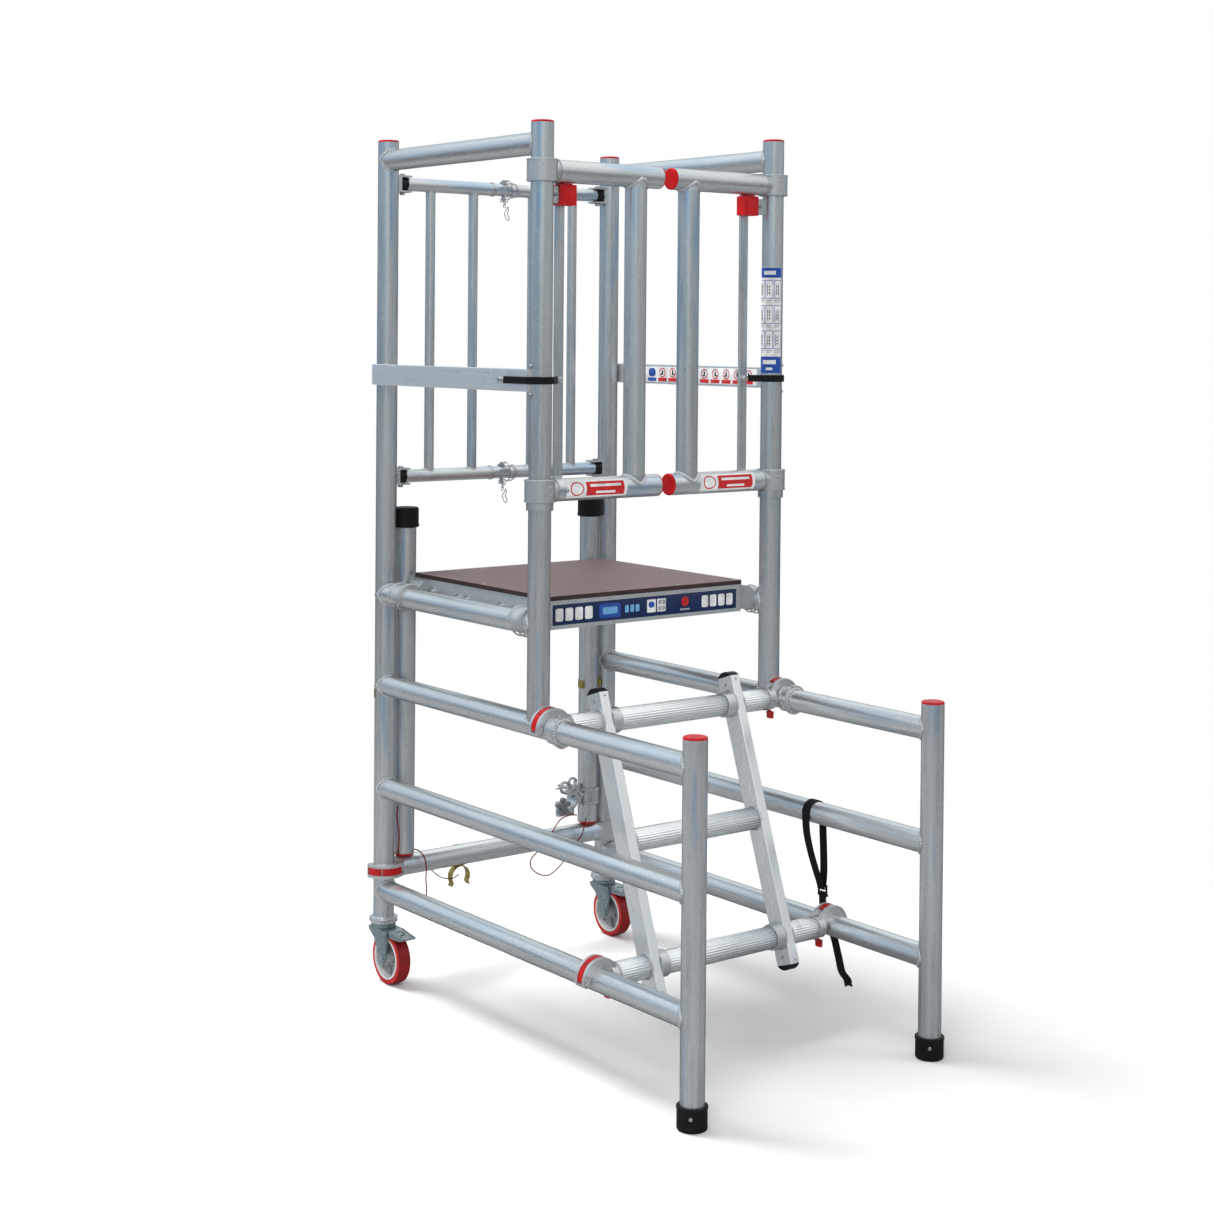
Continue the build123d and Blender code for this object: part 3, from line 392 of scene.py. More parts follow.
VINYL_SKY = moulded("sky_vinyl", (0.16, 0.42, 0.74), 0.28, (0.7, 0.75, 0.8), 0.25)
VINYL_RED = moulded("red_vinyl", (0.56, 0.018, 0.022), 0.28, (0.75, 0.4, 0.4), 0.25)
VINYL_GREY = moulded("grey_vinyl", (0.34, 0.36, 0.38), 0.3, (0.6, 0.6, 0.6), 0.25)
VINYL_INK = moulded("ink_vinyl", (0.035, 0.04, 0.055), 0.3, (0.3, 0.3, 0.32), 0.25)
BEAM = cast_metal("beam_extrusion", (0.84, 0.86, 0.87), 0.4, 1100.0, (0.7, 0.73, 0.75))
DECK_FILM = deck_film()


def use(material, *names):
    for name in names:
        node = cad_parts[name]
        node.data.materials.clear()
        node.data.materials.append(material)


use(METAL_X, *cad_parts)
for material, names in (
        (METAL_Z, "left_posts right_posts stabiliser_tubes"),
        (METAL_Y, "left_rails right_rails"),
        (METAL_FLAT, "side_bars"),
        (BEAM, "deck_beams"),
        (METAL_GATE, "left_gate_tubes right_gate_tubes"),
        (METAL_GUARD, "guard_left_section guard_right_section"),
        (METAL_STILE, "ladder_stiles"),
        (DECK_FILM, "deck_board"),
        (CAST, "left_gate_collars right_gate_collars brace_collar deck_hooks"),
        (CAST_LIGHT, "ladder_claws ladder_sockets brace_claw"),
        (ZINC, "left_castor_fork right_castor_fork left_castor_pedal right_castor_pedal"),
        (ZINC_PALE, "zinc_brackets"),
        (CHROME, "frame_fasteners guard_pins stabiliser_clamp guard_bail_lower guard_bail_upper"),
        (DARK_CHROME, "clamp_knob"),
        (GOLD, "stabiliser_clips brace_clip"),
        (RED, "tube_caps left_gate_caps right_gate_caps gate_stops"),
        (BLACK, "guard_plugs ladder_end_caps"),
        (RUBBER, "rubber_feet stabiliser_feet")):
    use(material, *names.split())
use(CHROME, *[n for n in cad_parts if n.startswith("windlock")])
use(RED_LATCH, *[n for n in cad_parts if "latch" in n])
for side, label in SIDES:
    axle = middle(label + "_castor_tyre")
    use(tyre_rubber(label + "_tyre", axle), label + "_castor_tyre")
    use(hub_plastic(label + "_hub", axle), label + "_castor_hub")


# ------------------------------------------------------------ mesh helper
def circle(radius, sides=12, start=0.0):
    turn = 2 * pi / sides
    return [(radius * cos(start + turn * i), radius * sin(start + turn * i)) for i in range(sides)]


def round_rect(width, height, corner, steps=4):
    """Outline of a rectangle with rounded corners, centred on the origin."""
    corner = min(corner, width / 2 - 1e-5, height / 2 - 1e-5)
    out = []
    for quarter, (sx, sy) in enumerate(((1, 1), (-1, 1), (-1, -1), (1, -1))):
        cx, cy = sx * (width / 2 - corner), sy * (height / 2 - corner)
        for i in range(steps + 1):
            a = pi / 2 * (quarter + i / steps)
            out.append((cx + corner * cos(a), cy + corner * sin(a)))
    return out


def arc(centre, u, v, radius, start, stop, steps):
    """Points on a circle in the plane of u and v, angles in degrees."""
    out = []
    for i in range(steps + 1):
        a = radians(start + (stop - start) * i / steps)
        out.append(Vector(centre) + (u * cos(a) + v * sin(a)) * radius)
    return out


def smooth_path(points, steps=12):
    """Catmull-Rom curve through a few points."""
    points = [Vector(p) for p in points]
    ends = [points[0] * 2 - points[1]] + points + [points[-1] * 2 - points[-2]]
    out = []
    for i in range(1, len(ends) - 2):
        a, b, c, d = ends[i - 1:i + 3]
        for j in range(steps):
            t = j / steps
            out.append(((b * 2) + (c - a) * t + (a * 2 - b * 5 + c * 4 - d) * t * t
                        + (b * 3 - a - c * 3 + d) * t * t * t) / 2)
    return out + [points[-1]]


FILM, FILM_EDGE = 0.0004, 0.0001


class Shape:
    """Collects closed shells that end up in one mesh."""

    def __init__(self):
        self.verts = []
        self.faces = []

    def loft(self, rings, closed=False):
        start = len(self.verts)
        count = len(rings[0])
        for ring in rings:
            self.verts.extend(ring)
        rows = len(rings)
        for i in range(rows if closed else rows - 1):
            a = start + i * count
            b = start + (i + 1) % rows * count
            for j in range(count):
                k = (j + 1) % count
                self.faces.append((a + j, a + k, b + k, b + j))
        if not closed:
            last = start + (rows - 1) * count
            self.faces.append(tuple(start + j for j in reversed(range(count))))
            self.faces.append(tuple(last + j for j in range(count)))

    def sweep(self, path, section, side=None, closed=False):
        """Carries a section along a path; side fixes the direction of its first coordinate."""
        path = [Vector(p) for p in path]
        n = len(path)
        u = None
        rings = []
        for i, point in enumerate(path):
            before = path[i - 1] if closed or i else path[0]
            after = path[(i + 1) % n] if closed or i < n - 1 else path[-1]
            tangent = (after - before).normalized()
            if side is not None:
                u = Vector(side)
            elif u is None:
                u = UP if abs(tangent.z) < 0.9 else EAST
            u = (u - tangent * u.dot(tangent)).normalized()
            v = tangent.cross(u)
            outline = section(i) if callable(section) else section
            rings.append([point + u * a + v * b for a, b in outline])
        self.loft(rings, closed)

    def wire(self, path, radius, closed=False, sides=10):
        if isinstance(radius, list):
            self.sweep(path, lambda i: circle(radius[i], sides), closed=closed)
        else:
            self.sweep(path, circle(radius, sides), closed=closed)

    def turned(self, centre, axis, profile, sides=48, closed=False):
        """Turned body: profile rows are (height along the axis, radius)."""
        axis = Vector(axis).normalized()
        u = (UP if abs(axis.z) < 0.9 else EAST).cross(axis).normalized()
        v = axis.cross(u)
        rings = []
        for height, radius in profile:
            ring = [Vector(centre) + axis * height + u * a + v * b for a, b in circle(radius, sides)]
            rings.append(ring)
        self.loft(rings, closed)

    def band(self, centre, axis, inner, rows, sides=48):
        """Ring with a bore; rows are (height, outer radius) and every size is in mm."""
        profile = [(rows[0][0], inner), *rows, (rows[-1][0], inner)]
        self.turned(centre, axis, [(height / 1000, radius / 1000) for height, radius in profile], sides, True)

    def sticker(self, centre, u, width, height, corner):
        """Upright block of film standing on a surface."""
        self.slab(centre, u, UP, (width, height, FILM), corner, FILM_EDGE)

    def bolt(self, centre, axis, radius, height):
        """Dome-headed fastener on a surface."""
        rows = [(-0.001, radius), (height * 0.35, radius)]
        rows += [(height * (0.35 + 0.65 * sin(a)), radius * cos(a)) for a in (0.35, 0.7, 1.05, 1.3, 1.5)]
        self.turned(centre, axis, rows, 24)

    def slab(self, centre, u, v, size, corner=0.002, bevel=0.0005):
        """Rounded plate: size is (along u, along v, thickness along u x v)."""
        u, v = Vector(u), Vector(v)
        w = u.cross(v)
        rings = []
        half = size[2] / 2
        for height, inset in ((-half, bevel), (-half + bevel, 0.0), (half - bevel, 0.0), (half, bevel)):
            outline = round_rect(size[0] - 2 * inset, size[1] - 2 * inset, corner)
            rings.append([Vector(centre) + u * a + v * b + w * height for a, b in outline])
        self.loft(rings)

    def weld(self, centre, main, branch, r_main=TUBE_R, r_branch=TUBE_R, bead=0.0033, reach=None, ripple=0.2):
        """Scalloped bead where a branch tube meets a main tube, or a flat face at a given reach."""
        centre = Vector(centre)
        across = main.cross(branch)
        path = []
        radii = []
        steps = 180
        for i in range(steps):
            a = 2 * pi * i / steps
            height = reach
            if reach is None:
                height = sqrt(max(r_main ** 2 - (0.965 * r_branch * sin(a)) ** 2, 0.0))
            out = main * cos(a) + across * sin(a)
            path.append(centre + branch * height + out * (r_branch + 0.0004))
            radii.append(bead * (1 + ripple * sin(30 * a) + SEED.uniform(-0.05, 0.05)))
        self.wire(path, radii, closed=True, sides=8)

    def piece(self, name, material, body="frame", angle=38.0):
        mesh = bpy.data.meshes.new(name)
        mesh.from_pydata([tuple(v) for v in self.verts], [], self.faces)
        tidy = bmesh.new()
        tidy.from_mesh(mesh)
        bmesh.ops.recalc_face_normals(tidy, faces=tidy.faces)
        tidy.to_mesh(mesh)
        tidy.free()
        mesh.materials.append(material)
        mesh.shade_smooth()
        mesh.set_sharp_from_angle(angle=radians(angle))
        obj = bpy.data.objects.new(name, mesh)
        bpy.context.scene.collection.objects.link(obj)
        if body:
            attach(obj, body)
        return obj


# ------------------------------------------------------------ welds
def side_frame_welds():
    shape = Shape()
    for side, label in SIDES:
        x = side * HALF_W
        for z in RAIL_Z:
            shape.weld((x, REAR_Y, z), UP, -NORTH)
            shape.weld((x, LEG_Y, z), UP, NORTH)
        for z in (DECK_RAIL_Z, GUARD_RAIL_Z):
            shape.weld((x, REAR_Y, z), UP, -NORTH)
            shape.weld((x, POST_Y, z), UP, NORTH)
        shape.weld((x, POST_Y, RAIL_Z[2]), NORTH, UP)
        shape.weld((x, POST_Y - 0.0955, RAIL_Z[2]), EAST, -NORTH, r_branch=0.0262, reach=0.0004)
        shape.weld((x, POST_Y - 0.0625, RAIL_Z[2]), EAST, NORTH, r_branch=0.0262, reach=0.0004)
        for level in GUARD_Z:
            for bar_x in GUARD_BAR_X:
                inward = UP if level == GUARD_Z[0] else -UP
                shape.weld((side * bar_x, REAR_Y, level), EAST, inward, GUARD_R, 0.012, 0.0015)
    shape.piece("frame_welds", WELD)


def gate_welds(side, label):
    shape = Shape()
    x = side * GATE_UPRIGHT
    for z, way in zip(GATE_Z, (UP, -UP)):
        shape.weld((x, POST_Y, z), EAST, way, bead=0.0042, ripple=0.07)
    shape.piece(label + "_gate_welds", WELD, label + "_gate")


def ladder_welds():
    shape = Shape()
    for side, label in SIDES:
        for z in RAIL_Z:
            at = (0.0, ladder_y(z), z)
            radius = TUBE_R if z == RAIL_Z[1] else 0.0292
            shape.weld(at, NORTH, EAST * side, r_branch=radius, reach=STILE_FACE[0] - 0.0005, bead=0.0022)
            if z != RAIL_Z[1]:
                shape.weld(at, NORTH, EAST * side, reach=STILE_FACE[1] + 0.0005, bead=0.0024)
                shape.weld(at, NORTH, EAST * side, reach=STUB_END - 0.0004, bead=0.0016, ripple=0.08)
    shape.piece("ladder_welds", WELD, "ladder")


side_frame_welds()
for side, label in SIDES:
    gate_welds(side, label)
ladder_welds()


# ------------------------------------------------------------ fluted ladder tubes
def fluted_tube(shape, x0, x1, z, flutes=28, depth=0.001):
    outline = []
    for i in range(flutes * 8):
        a = 2 * pi * i / (flutes * 8)
        dip = (0.5 - 0.5 * cos(flutes * a)) ** 0.6
        outline.append((dip, cos(a), sin(a)))
    rings = []
    for x, trim in ((x0, 0.0008), (x0 + 0.0008, 0.0), (x1 - 0.0008, 0.0), (x1, 0.0008)):
        centre = Vector((x, ladder_y(z), z))
        rings.append([centre + (NORTH * c + UP * s) * (TUBE_R - trim - depth * (1 - dip)) for dip, c, s in outline])
    shape.loft(rings)


tubes = Shape()
for z in RAIL_Z:
    fluted_tube(tubes, -STILE_FACE[0], STILE_FACE[0], z)
for z in (RAIL_Z[0], RAIL_Z[2]):
    for side, label in SIDES:
        fluted_tube(tubes, *sorted((side * STILE_FACE[1], side * STUB_END)), z)
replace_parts(tubes.piece("fluted_ladder_tubes", METAL_FLUTED, "ladder", 50.0), "ladder_tubes")


# ------------------------------------------------------------ ladder and claw details
def stile_rivets():
    shape = Shape()
    for side, label in SIDES:
        for z in (0.764, 0.175):
            for face in (-1, 1):
                x = side * STILE_X + face * 0.0125
                shape.bolt((x, ladder_y(z), z), EAST * face, 0.0042, 0.0018)
        for z in (0.773, 0.166):
            front = Vector((0, -cos(TILT), sin(TILT)))
            centre = Vector((side * STILE_X, ladder_y(z), z)) + front * 0.025
            shape.bolt(centre, front, 0.003, 0.0012)
    shape.piece("stile_rivets", CHROME, "ladder")


def claw_lips(shape, centre, axis, out, along, offset):
    """Rounded lips on both flanges of a claw and its half-round tip.

    The claw's centre is CLAW_INSET inboard of the tube it grips, so everything here keeps clear of that.
    """
    for face in (-1, 1):
        rim = centre + axis * face * offset
        shape.wire(arc(rim, out, along, 0.0447, -4, 172, 48), 0.002, sides=8)
        shape.wire(arc(rim, out, along, 0.0306, 0, 165, 40), 0.0017, sides=8)
    a = radians(-6)
    radial = out * cos(a) + along * sin(a)
    beyond = out * sin(a) - along * cos(a)
    rings = []
    for height, radius in ((-0.0158, 0.0075), (-0.0148, 0.0083), (0.0148, 0.0083), (0.0158, 0.0075)):
        base = centre + axis * height + radial * 0.0378
        foot = base - beyond * 0.001
        rings.append([foot + radial * radius, *arc(base, radial, beyond, radius, 0, 180, 18), foot - radial * radius])
    shape.loft(rings)


def latch_stems():
    """Strip that carries each latch's thumb tab; it runs back into the claw's root."""
    for z, level in ((RAIL_Z[0], "lower"), (RAIL_Z[2], "upper")):
        for side, label in SIDES:
            centre = Vector((side * (HALF_W - CLAW_INSET), ladder_y(z), z))
            shape = Shape()
            strip = arc(centre, EAST * side, UP, 0.0436, 176, 228, 24)
            shape.sweep(strip, round_rect(0.012, 0.0036, 0.0012, 2), side=NORTH)
            name = "ladder_latch_" + level + "_" + label
            shape.piece(name + "_stem", RED_LATCH, name)


def claw_rims():
    """Lips and tip of each ladder claw, with a boss and a clamp screw."""
    shape = Shape()
    for z in (RAIL_Z[0], RAIL_Z[2]):
        for side, label in SIDES:
            centre = Vector((side * (HALF_W - CLAW_INSET), ladder_y(z), z))
            out = EAST * side
            claw_lips(shape, centre, NORTH, out, UP, 0.0144)
            low = centre + (out * 0.0355 - UP * 0.004) - NORTH * 0.015
            shape.turned(low, -NORTH, [(0.0, 0.0056), (0.002, 0.0056), (0.003, 0.0046)], 24)
            shape.bolt(centre + out * 0.035 + UP * 0.014 - NORTH * 0.0148, -NORTH, 0.003, 0.002)
    shape.piece("claw_rims", CAST_LIGHT, "ladder")


def brace_claw_rims():
    shape = Shape()
    claw_lips(shape, Vector((CLAW_INSET - HALF_W, REAR_Y, BRACE_Z)), UP, -EAST, -NORTH, 0.015)
    shape.piece("brace_claw_rims", CAST_LIGHT, "brace")


def rail_collar_rings():
    """Bright split ring on the collar in front of each upper claw."""
    shape = Shape()
    for side, label in SIDES:
        centre = Vector((side * HALF_W, POST_Y - 0.092, RAIL_Z[2]))
        ring = arc(centre, EAST, UP, 0.0332, 128, 466, 64)
        shape.sweep(ring, round_rect(0.0062, 0.0022, 0.0008, 2), side=NORTH)
        for angle in (128, 106):
            a = radians(angle)
            out = EAST * cos(a) + UP * sin(a)
            shape.slab(centre + out * 0.0345, NORTH, out.cross(NORTH), (0.0066, 0.004, 0.005), 0.001, 0.0004)
    shape.piece("rail_collar_rings", CAST_LIGHT)


stile_rivets()
latch_stems()
claw_rims()
rail_collar_rings()
brace_claw_rims()


# ------------------------------------------------------------ gate details
def gate_trim(side, label):
    shape = Shape()
    x = side * HALF_W
    for z in GATE_Z:
        inward = -EAST * side
        shape.band((x + inward.x * 0.0345, POST_Y, z), inward, 26.2, [(0, 27.6), (1.4, 27.6)])
        for face in (-1, 1):
            shape.band((x, POST_Y, z + face * 0.0225 - 0.0015), UP, 33.0, [(0, 34.9), (3.0, 34.9)], 64)
        for dz in (-0.009, 0.009):
            direction = Vector((-0.2 * side, -0.98, 0.0)).normalized()
            shape.bolt(Vector((x, POST_Y, z + dz)) + direction * 0.0339, direction, 0.003, 0.0012)
    shape.piece(label + "_gate_trim", CAST, label + "_gate")


def stop_pads(side, label):
    shape = Shape()
    x = side * (HALF_W - 0.0705)
    shape.slab((x, POST_Y + 0.0115, 1.9128), EAST, NORTH, (0.03, 0.022, 0.0036), 0.004, 0.001)
    shape.slab((x, POST_Y - 0.0024, 1.889), EAST, UP, (0.033, 0.034, 0.002), 0.004, 0.0008)
    shape.piece(label + "_stop_pad", RED)
    bracket = Shape()
    bracket.slab((side * (HALF_W - 0.038), POST_Y + 0.0212, 1.889), EAST, UP, (0.022, 0.033, 0.003), 0.004)
    bracket.bolt((side * (HALF_W - 0.038), POST_Y + 0.0029, 1.889), -NORTH, 0.0048, 0.003)
    bracket.piece(label + "_stop_bracket", ZINC)


for side, label in SIDES:
    gate_trim(side, label)
    stop_pads(side, label)


# ------------------------------------------------------------ rubber gate cords
def gate_cord(side, label):
    """Ribbed flat rubber strap; it bends round the post."""
    radius, lane = 0.0284, TUBE_R + 0.0131
    a0 = 180 + degrees(acos(radius / lane))
    a1 = 360 + degrees(atan2(19, 58)) - degrees(acos(radius * 1000 / hypot(58, 19)))
    centre = Vector((side * HALF_W, POST_Y, SIDE_BAR_Z))
    inward = -EAST * side
    loop = arc(centre, inward, NORTH, radius, a0, a1, 40)
    start = [centre - inward * lane + NORTH * (0.086 - 0.003 * i) for i in range(29)]
    last = centre + inward * 0.058 + NORTH * 0.019
    stop = [loop[-1].lerp(last, i / 12) for i in range(1, 13)]
    path = start + loop + stop
    ribbed = []
    for i in range(9):
        ribbed.append((0.0068 - 0.0017 * i, 0.0023 if i % 2 == 0 else 0.00185))
    lower = [(-x, -y) for x, y in ribbed]
    outline = [(0.008, 0.0012)] + ribbed + [(-0.008, 0.0012), (-0.008, -0.0012)] + lower + [(0.008, -0.0012)]
    shape = Shape()
    shape.sweep(path, outline, side=UP)
    cord = shape.piece(label + "_gate_cord", RUBBER, None)
    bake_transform(cord)
    return cord


for cord in [gate_cord(side, label) for side, label in SIDES]:
    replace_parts(cord, "gate_cords")


# ------------------------------------------------------------ webbing strap and buckle
def tie_strap():
    shape = Shape()
    y = REAR_Y - 0.802
    z = RAIL_Z[1]
    rows = round_rect(0.024, 0.0019, 0.0008, 3)

    def at(dx, dz, dy=0.0):
        """Point at millimetres from the middle base rail, where the strap hangs."""
        return Vector((HALF_W + dx / 1000, y + dy / 1000, z + dz / 1000))

    near = smooth_path([at(29, -182), at(33, -150), at(32.5, -110), at(30, -60),
                        at(27.6, -16), at(27.2, -2)], 10)
    over = arc(at(0, 0), EAST, UP, 0.0272, 4, 184, 40)
    far = smooth_path([at(-26.8, -12), at(-22, -50), at(-9, -95), at(8, -140),
                       at(21, -172), at(25, -186)], 10)
    shape.sweep(near[:-1] + over + far, rows, side=NORTH)
    tail = smooth_path([at(30, -196), at(31, -222), at(32, -250, -6), at(33, -288, -34),
                        at(32, -330, -52), at(29, -362, -67), at(31, -378, -82),
                        at(29, -389, -91)], 10)
    shape.sweep(tail, rows, side=NORTH)
    hem = at(29, -386, -89)
    shape.slab(hem, NORTH, (tail[-1] - tail[-4]).normalized(), (0.0244, 0.012, 0.0036), 0.001, 0.0006)
    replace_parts(shape.piece("webbing_tie_strap", WEBBING), "tie_strap")
    stitches = Shape()
    for row in range(4):
        for i in range(7):
            spot = hem + NORTH * (-0.0072 + 0.0024 * i) + UP * (-0.004 + 0.0026 * row)
            stitches.wire([spot - NORTH * 0.0007 + EAST * 0.0019, spot + NORTH * 0.0007 + EAST * 0.0019], 0.00025)
    stitches.piece("strap_stitching", BLACK_CORD)


def strap_buckle():
    """Ladder-lock buckle: side rails, bars and a toothed thumb lever."""
    shape = Shape()
    lo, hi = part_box("strap_buckle")
    c = (lo + hi) / 2
    for dy in (-0.013, 0.013):
        rail = [c + Vector((0.0, dy, dz)) for dz in (-0.0135, -0.006, 0.0, 0.006, 0.0135)]
        shape.sweep(rail, round_rect(0.0058, 0.003, 0.0012, 3), side=EAST)
    for dx, dz in ((0.0008, 0.0125), (-0.0012, 0.004), (0.0012, -0.0045), (-0.0006, -0.0125)):
        bar = [c + Vector((dx, -0.0135, dz)), c + Vector((dx, 0.0135, dz))]
        shape.wire(bar, 0.0019, sides=12)
    lever = [c + Vector((0.002, 0, -0.004)), c + Vector((0.0058, 0, -0.01)), c + Vector((0.0088, 0, -0.0155))]
    shape.sweep(smooth_path(lever, 6), round_rect(0.022, 0.0024, 0.001, 3), side=NORTH)
    for i in range(5):
        spot = c + Vector((0.0066, 0, -0.0105 - 0.0011 * i))
        shape.wire([spot - NORTH * 0.009, spot + NORTH * 0.009], 0.0005, sides=6)
    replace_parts(shape.piece("strap_ladder_lock", BLACK), "strap_buckle")


tie_strap()
strap_buckle()


# ------------------------------------------------------------ lanyards
def braided(shape, points, radius, twist=420.0):
    """Cord of three strands laid round each other; points are in mm from the rear posts' plane."""
    path = smooth_path([Vector((0, REAR_Y, 0)) + Vector(p) / 1000 for p in points], 14)
    for strand in range(3):
        line = []
        length = 0.0
        for i, p in enumerate(path):
            ahead = path[min(i + 1, len(path) - 1)]
            behind = path[max(i - 1, 0)]
            tangent = (ahead - behind).normalized()
            u = (UP if abs(tangent.z) < 0.9 else EAST).cross(tangent).normalized()
            v = tangent.cross(u)
            a = twist * length + 2 * pi * strand / 3
            line.append(p + (u * cos(a) + v * sin(a)) * radius * 0.45)
            length += (ahead - p).length
        shape.wire(line, radius * 0.62, sides=7)


def lanyards():
    red = Shape()
    braided(red, [(216, -43, 334), (190, -43, 336), (165, -37, 325), (130, -40, 288), (95, -41, 258), (74, -39, 238),
                  (78, -37, 215), (100, -40, 197), (131, -39, 190), (162, -37, 203), (190, -35, 226),
                  (206, -39, 244), (222, -37, 262), (236, -41, 282), (246, -43, 322)], 0.0016)
    braided(red, [(-318, -26, 425), (-322, -29, 400), (-317, -31, 365), (-316, -30, 335), (-312, -20, 308),
                  (-300, -4, 307), (-285, 6, 305), (-268, 6, 306), (-254, -14, 307), (-246, -33, 294),
                  (-243, -40, 268), (-243, -39, 240), (-240, -37, 214), (-241, -38, 194), (-246, -38, 184)], 0.0017)
    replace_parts(red.piece("red_lanyards", RED_CORD), "lanyards")
    black = Shape()
    braided(black, [(-226, -37, 258), (-206, -39, 240), (-184, -37, 230), (-160, -35, 227), (-142, -32, 232)], 0.0014)
    black.piece("black_lanyard", BLACK_CORD, "brace")


lanyards()


# ------------------------------------------------------------ pin clips and chains
def link(shape, centre, axis, side, length=0.008, width=0.0054, wire=0.0007):
    """Oval chain link: axis is its long direction."""
    loop = []
    for i in range(20):
        a = 2 * pi * i / 20
        loop.append(centre + axis * (length / 2 * cos(a)) + side * (width / 2 * sin(a)))
    shape.wire(loop, wire, closed=True, sides=6)


def pin_clips():
    shape = Shape()
    for z in GUARD_Z:
        foot = Vector((0.0, REAR_Y, z - 0.0235))
        shape.wire([foot + NORTH * 0.016, foot - NORTH * 0.014], 0.0011, sides=8)
        curl = arc(foot - NORTH * 0.014 - UP * 0.0045, UP, -NORTH, 0.0045, 0, 215, 16)
        wavy = [foot + Vector((0, dy, dz)) for dy, dz in ((-0.008, -0.0072), (-0.002, -0.005), (0.004, -0.0068),
                                                          (0.011, -0.0048), (0.017, -0.0062))]
        shape.wire(smooth_path(curl[::4] + wavy, 5), 0.0011, sides=8)
        ring = Vector((0.008, REAR_Y - 0.02, z - 0.002))
        shape.wire(arc(ring, (EAST * 0.8 - NORTH * 0.6), UP, 0.019, 0, 352, 48), 0.0016, sides=8)
        for i in range(3):
            spot = foot + Vector((-0.006, -0.015 + 0.0004 * i, -0.003 - 0.0072 * i))
            link(shape, spot, UP, NORTH if i % 2 else EAST, 0.01, 0.0066, 0.001)
        low = foot + Vector((-0.003, -0.015, -0.025))
        bow = [low + EAST * dx + UP * dz for dx, dz in ((0.009, 0.006), (0.002, -0.002), (-0.003, -0.012),
                                                        (0.002, -0.024), (0.008, -0.029), (0.011, -0.022),
                                                        (0.006, -0.012), (0.009, -0.002), (0.004, 0.006))]
        shape.wire(smooth_path(bow, 8), 0.0012, sides=8)
        washer = Vector((0.0, REAR_Y, z + 0.015))
        shape.band(washer, UP, 5.6, [(0, 11.5), (1.1, 11.5)], 32)
        for x in (-0.038, 0.031):
            shape.band((x, REAR_Y, z), EAST, 16.2, [(0, 17.6), (3.5, 18.0), (7.0, 17.6)], 32)
    shape.piece("guard_pin_clips", CHROME)


pin_clips()


# ------------------------------------------------------------ deck details
def deck_details():
    board_lo, board_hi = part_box("deck_board")
    _, beam_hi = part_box("deck_beams")
    bolts = Shape()
    for side, label in SIDES:
        x = side * beam_hi.x
        for y, z in ((board_hi.y - 0.08, 0.958), (board_hi.y - 0.19, 0.953), (board_lo.y + 0.19, 0.953),
                     (board_lo.y + 0.33, 0.953)):
            bolts.turned((x, y, z), EAST * side, [(-0.001, 0.0125), (0.0014, 0.0125), (0.002, 0.0118)], 28)
            bolts.bolt((x + side * 0.0018, y, z), EAST * side, 0.008, 0.0055)
    bolts.piece("deck_side_bolts", CHROME)
    ribs = Shape()
    for side, label in SIDES:
        for end in ("front", "rear"):
            keeper = middle("windlock_" + end + "_" + label)
            centre = Vector((side * HALF_W, keeper.y, DECK_RAIL_Z))
            for dy in (-0.022, -0.0165, 0.0165, 0.022):
                ribs.wire(arc(centre + NORTH * dy, -EAST * side, UP, 0.0332, -8, 176, 44), 0.0017, sides=8)
            ribs.slab(centre + Vector((-side * 0.05, 0.0, 0.0385)), EAST, NORTH, (0.01, 0.044, 0.003), 0.003)
            for dy in (-0.015, 0.015):
                ribs.bolt(centre + Vector((-side * 0.0548, dy, 0.008)) + UP * 0.03, UP, 0.0034, 0.0022)
    ribs.piece("deck_hook_ribs", CAST)


def keeper_coils():
    """Coil springs where each wire keeper turns on its hook."""
    for side, label in SIDES:
        for end in ("front", "rear"):
            name = "windlock_" + end + "_" + label
            keeper = middle(name)
            centre = Vector((side * HALF_W, keeper.y, DECK_RAIL_Z))
            shape = Shape()
            a = radians(-38)
            pivot = centre + (-EAST * side * cos(a) + UP * sin(a)) * 0.031
            coil = []
            for i in range(121):
                t = i / 120
                turn = 2 * pi * 6 * t
                coil.append(pivot + NORTH * (-0.0085 + 0.017 * t)
                            + (EAST * cos(turn) + UP * sin(turn)) * 0.0031)
            shape.wire(coil, 0.0008, sides=6)
            shape.piece(name + "_coil", CHROME, name)


deck_details()
keeper_coils()


# ------------------------------------------------------------ plain labels
def plate(name, material, centre, u, v, width, height):
    """Thin flat label; u x v points out of the surface."""
    shape = Shape()
    out = Vector(u).cross(Vector(v))
    shape.slab(Vector(centre) + out * 0.00025, u, v, (width, height, FILM), 0.0015, FILM_EDGE)
    shape.piece(name, material)


def wrapped(shape, centre, axis, u, v, radius, a0, a1, low, high, lift=0.0):
    """Thin label bent round a tube between two angles, from low to high along its axis."""
    path = arc(Vector(centre) + Vector(axis) * ((low + high) / 2), u, v, radius + 0.0002 + lift, a0, a1, 24)
    shape.sweep(path, round_rect(high - low, 0.0003, 0.0001, 1), side=axis)


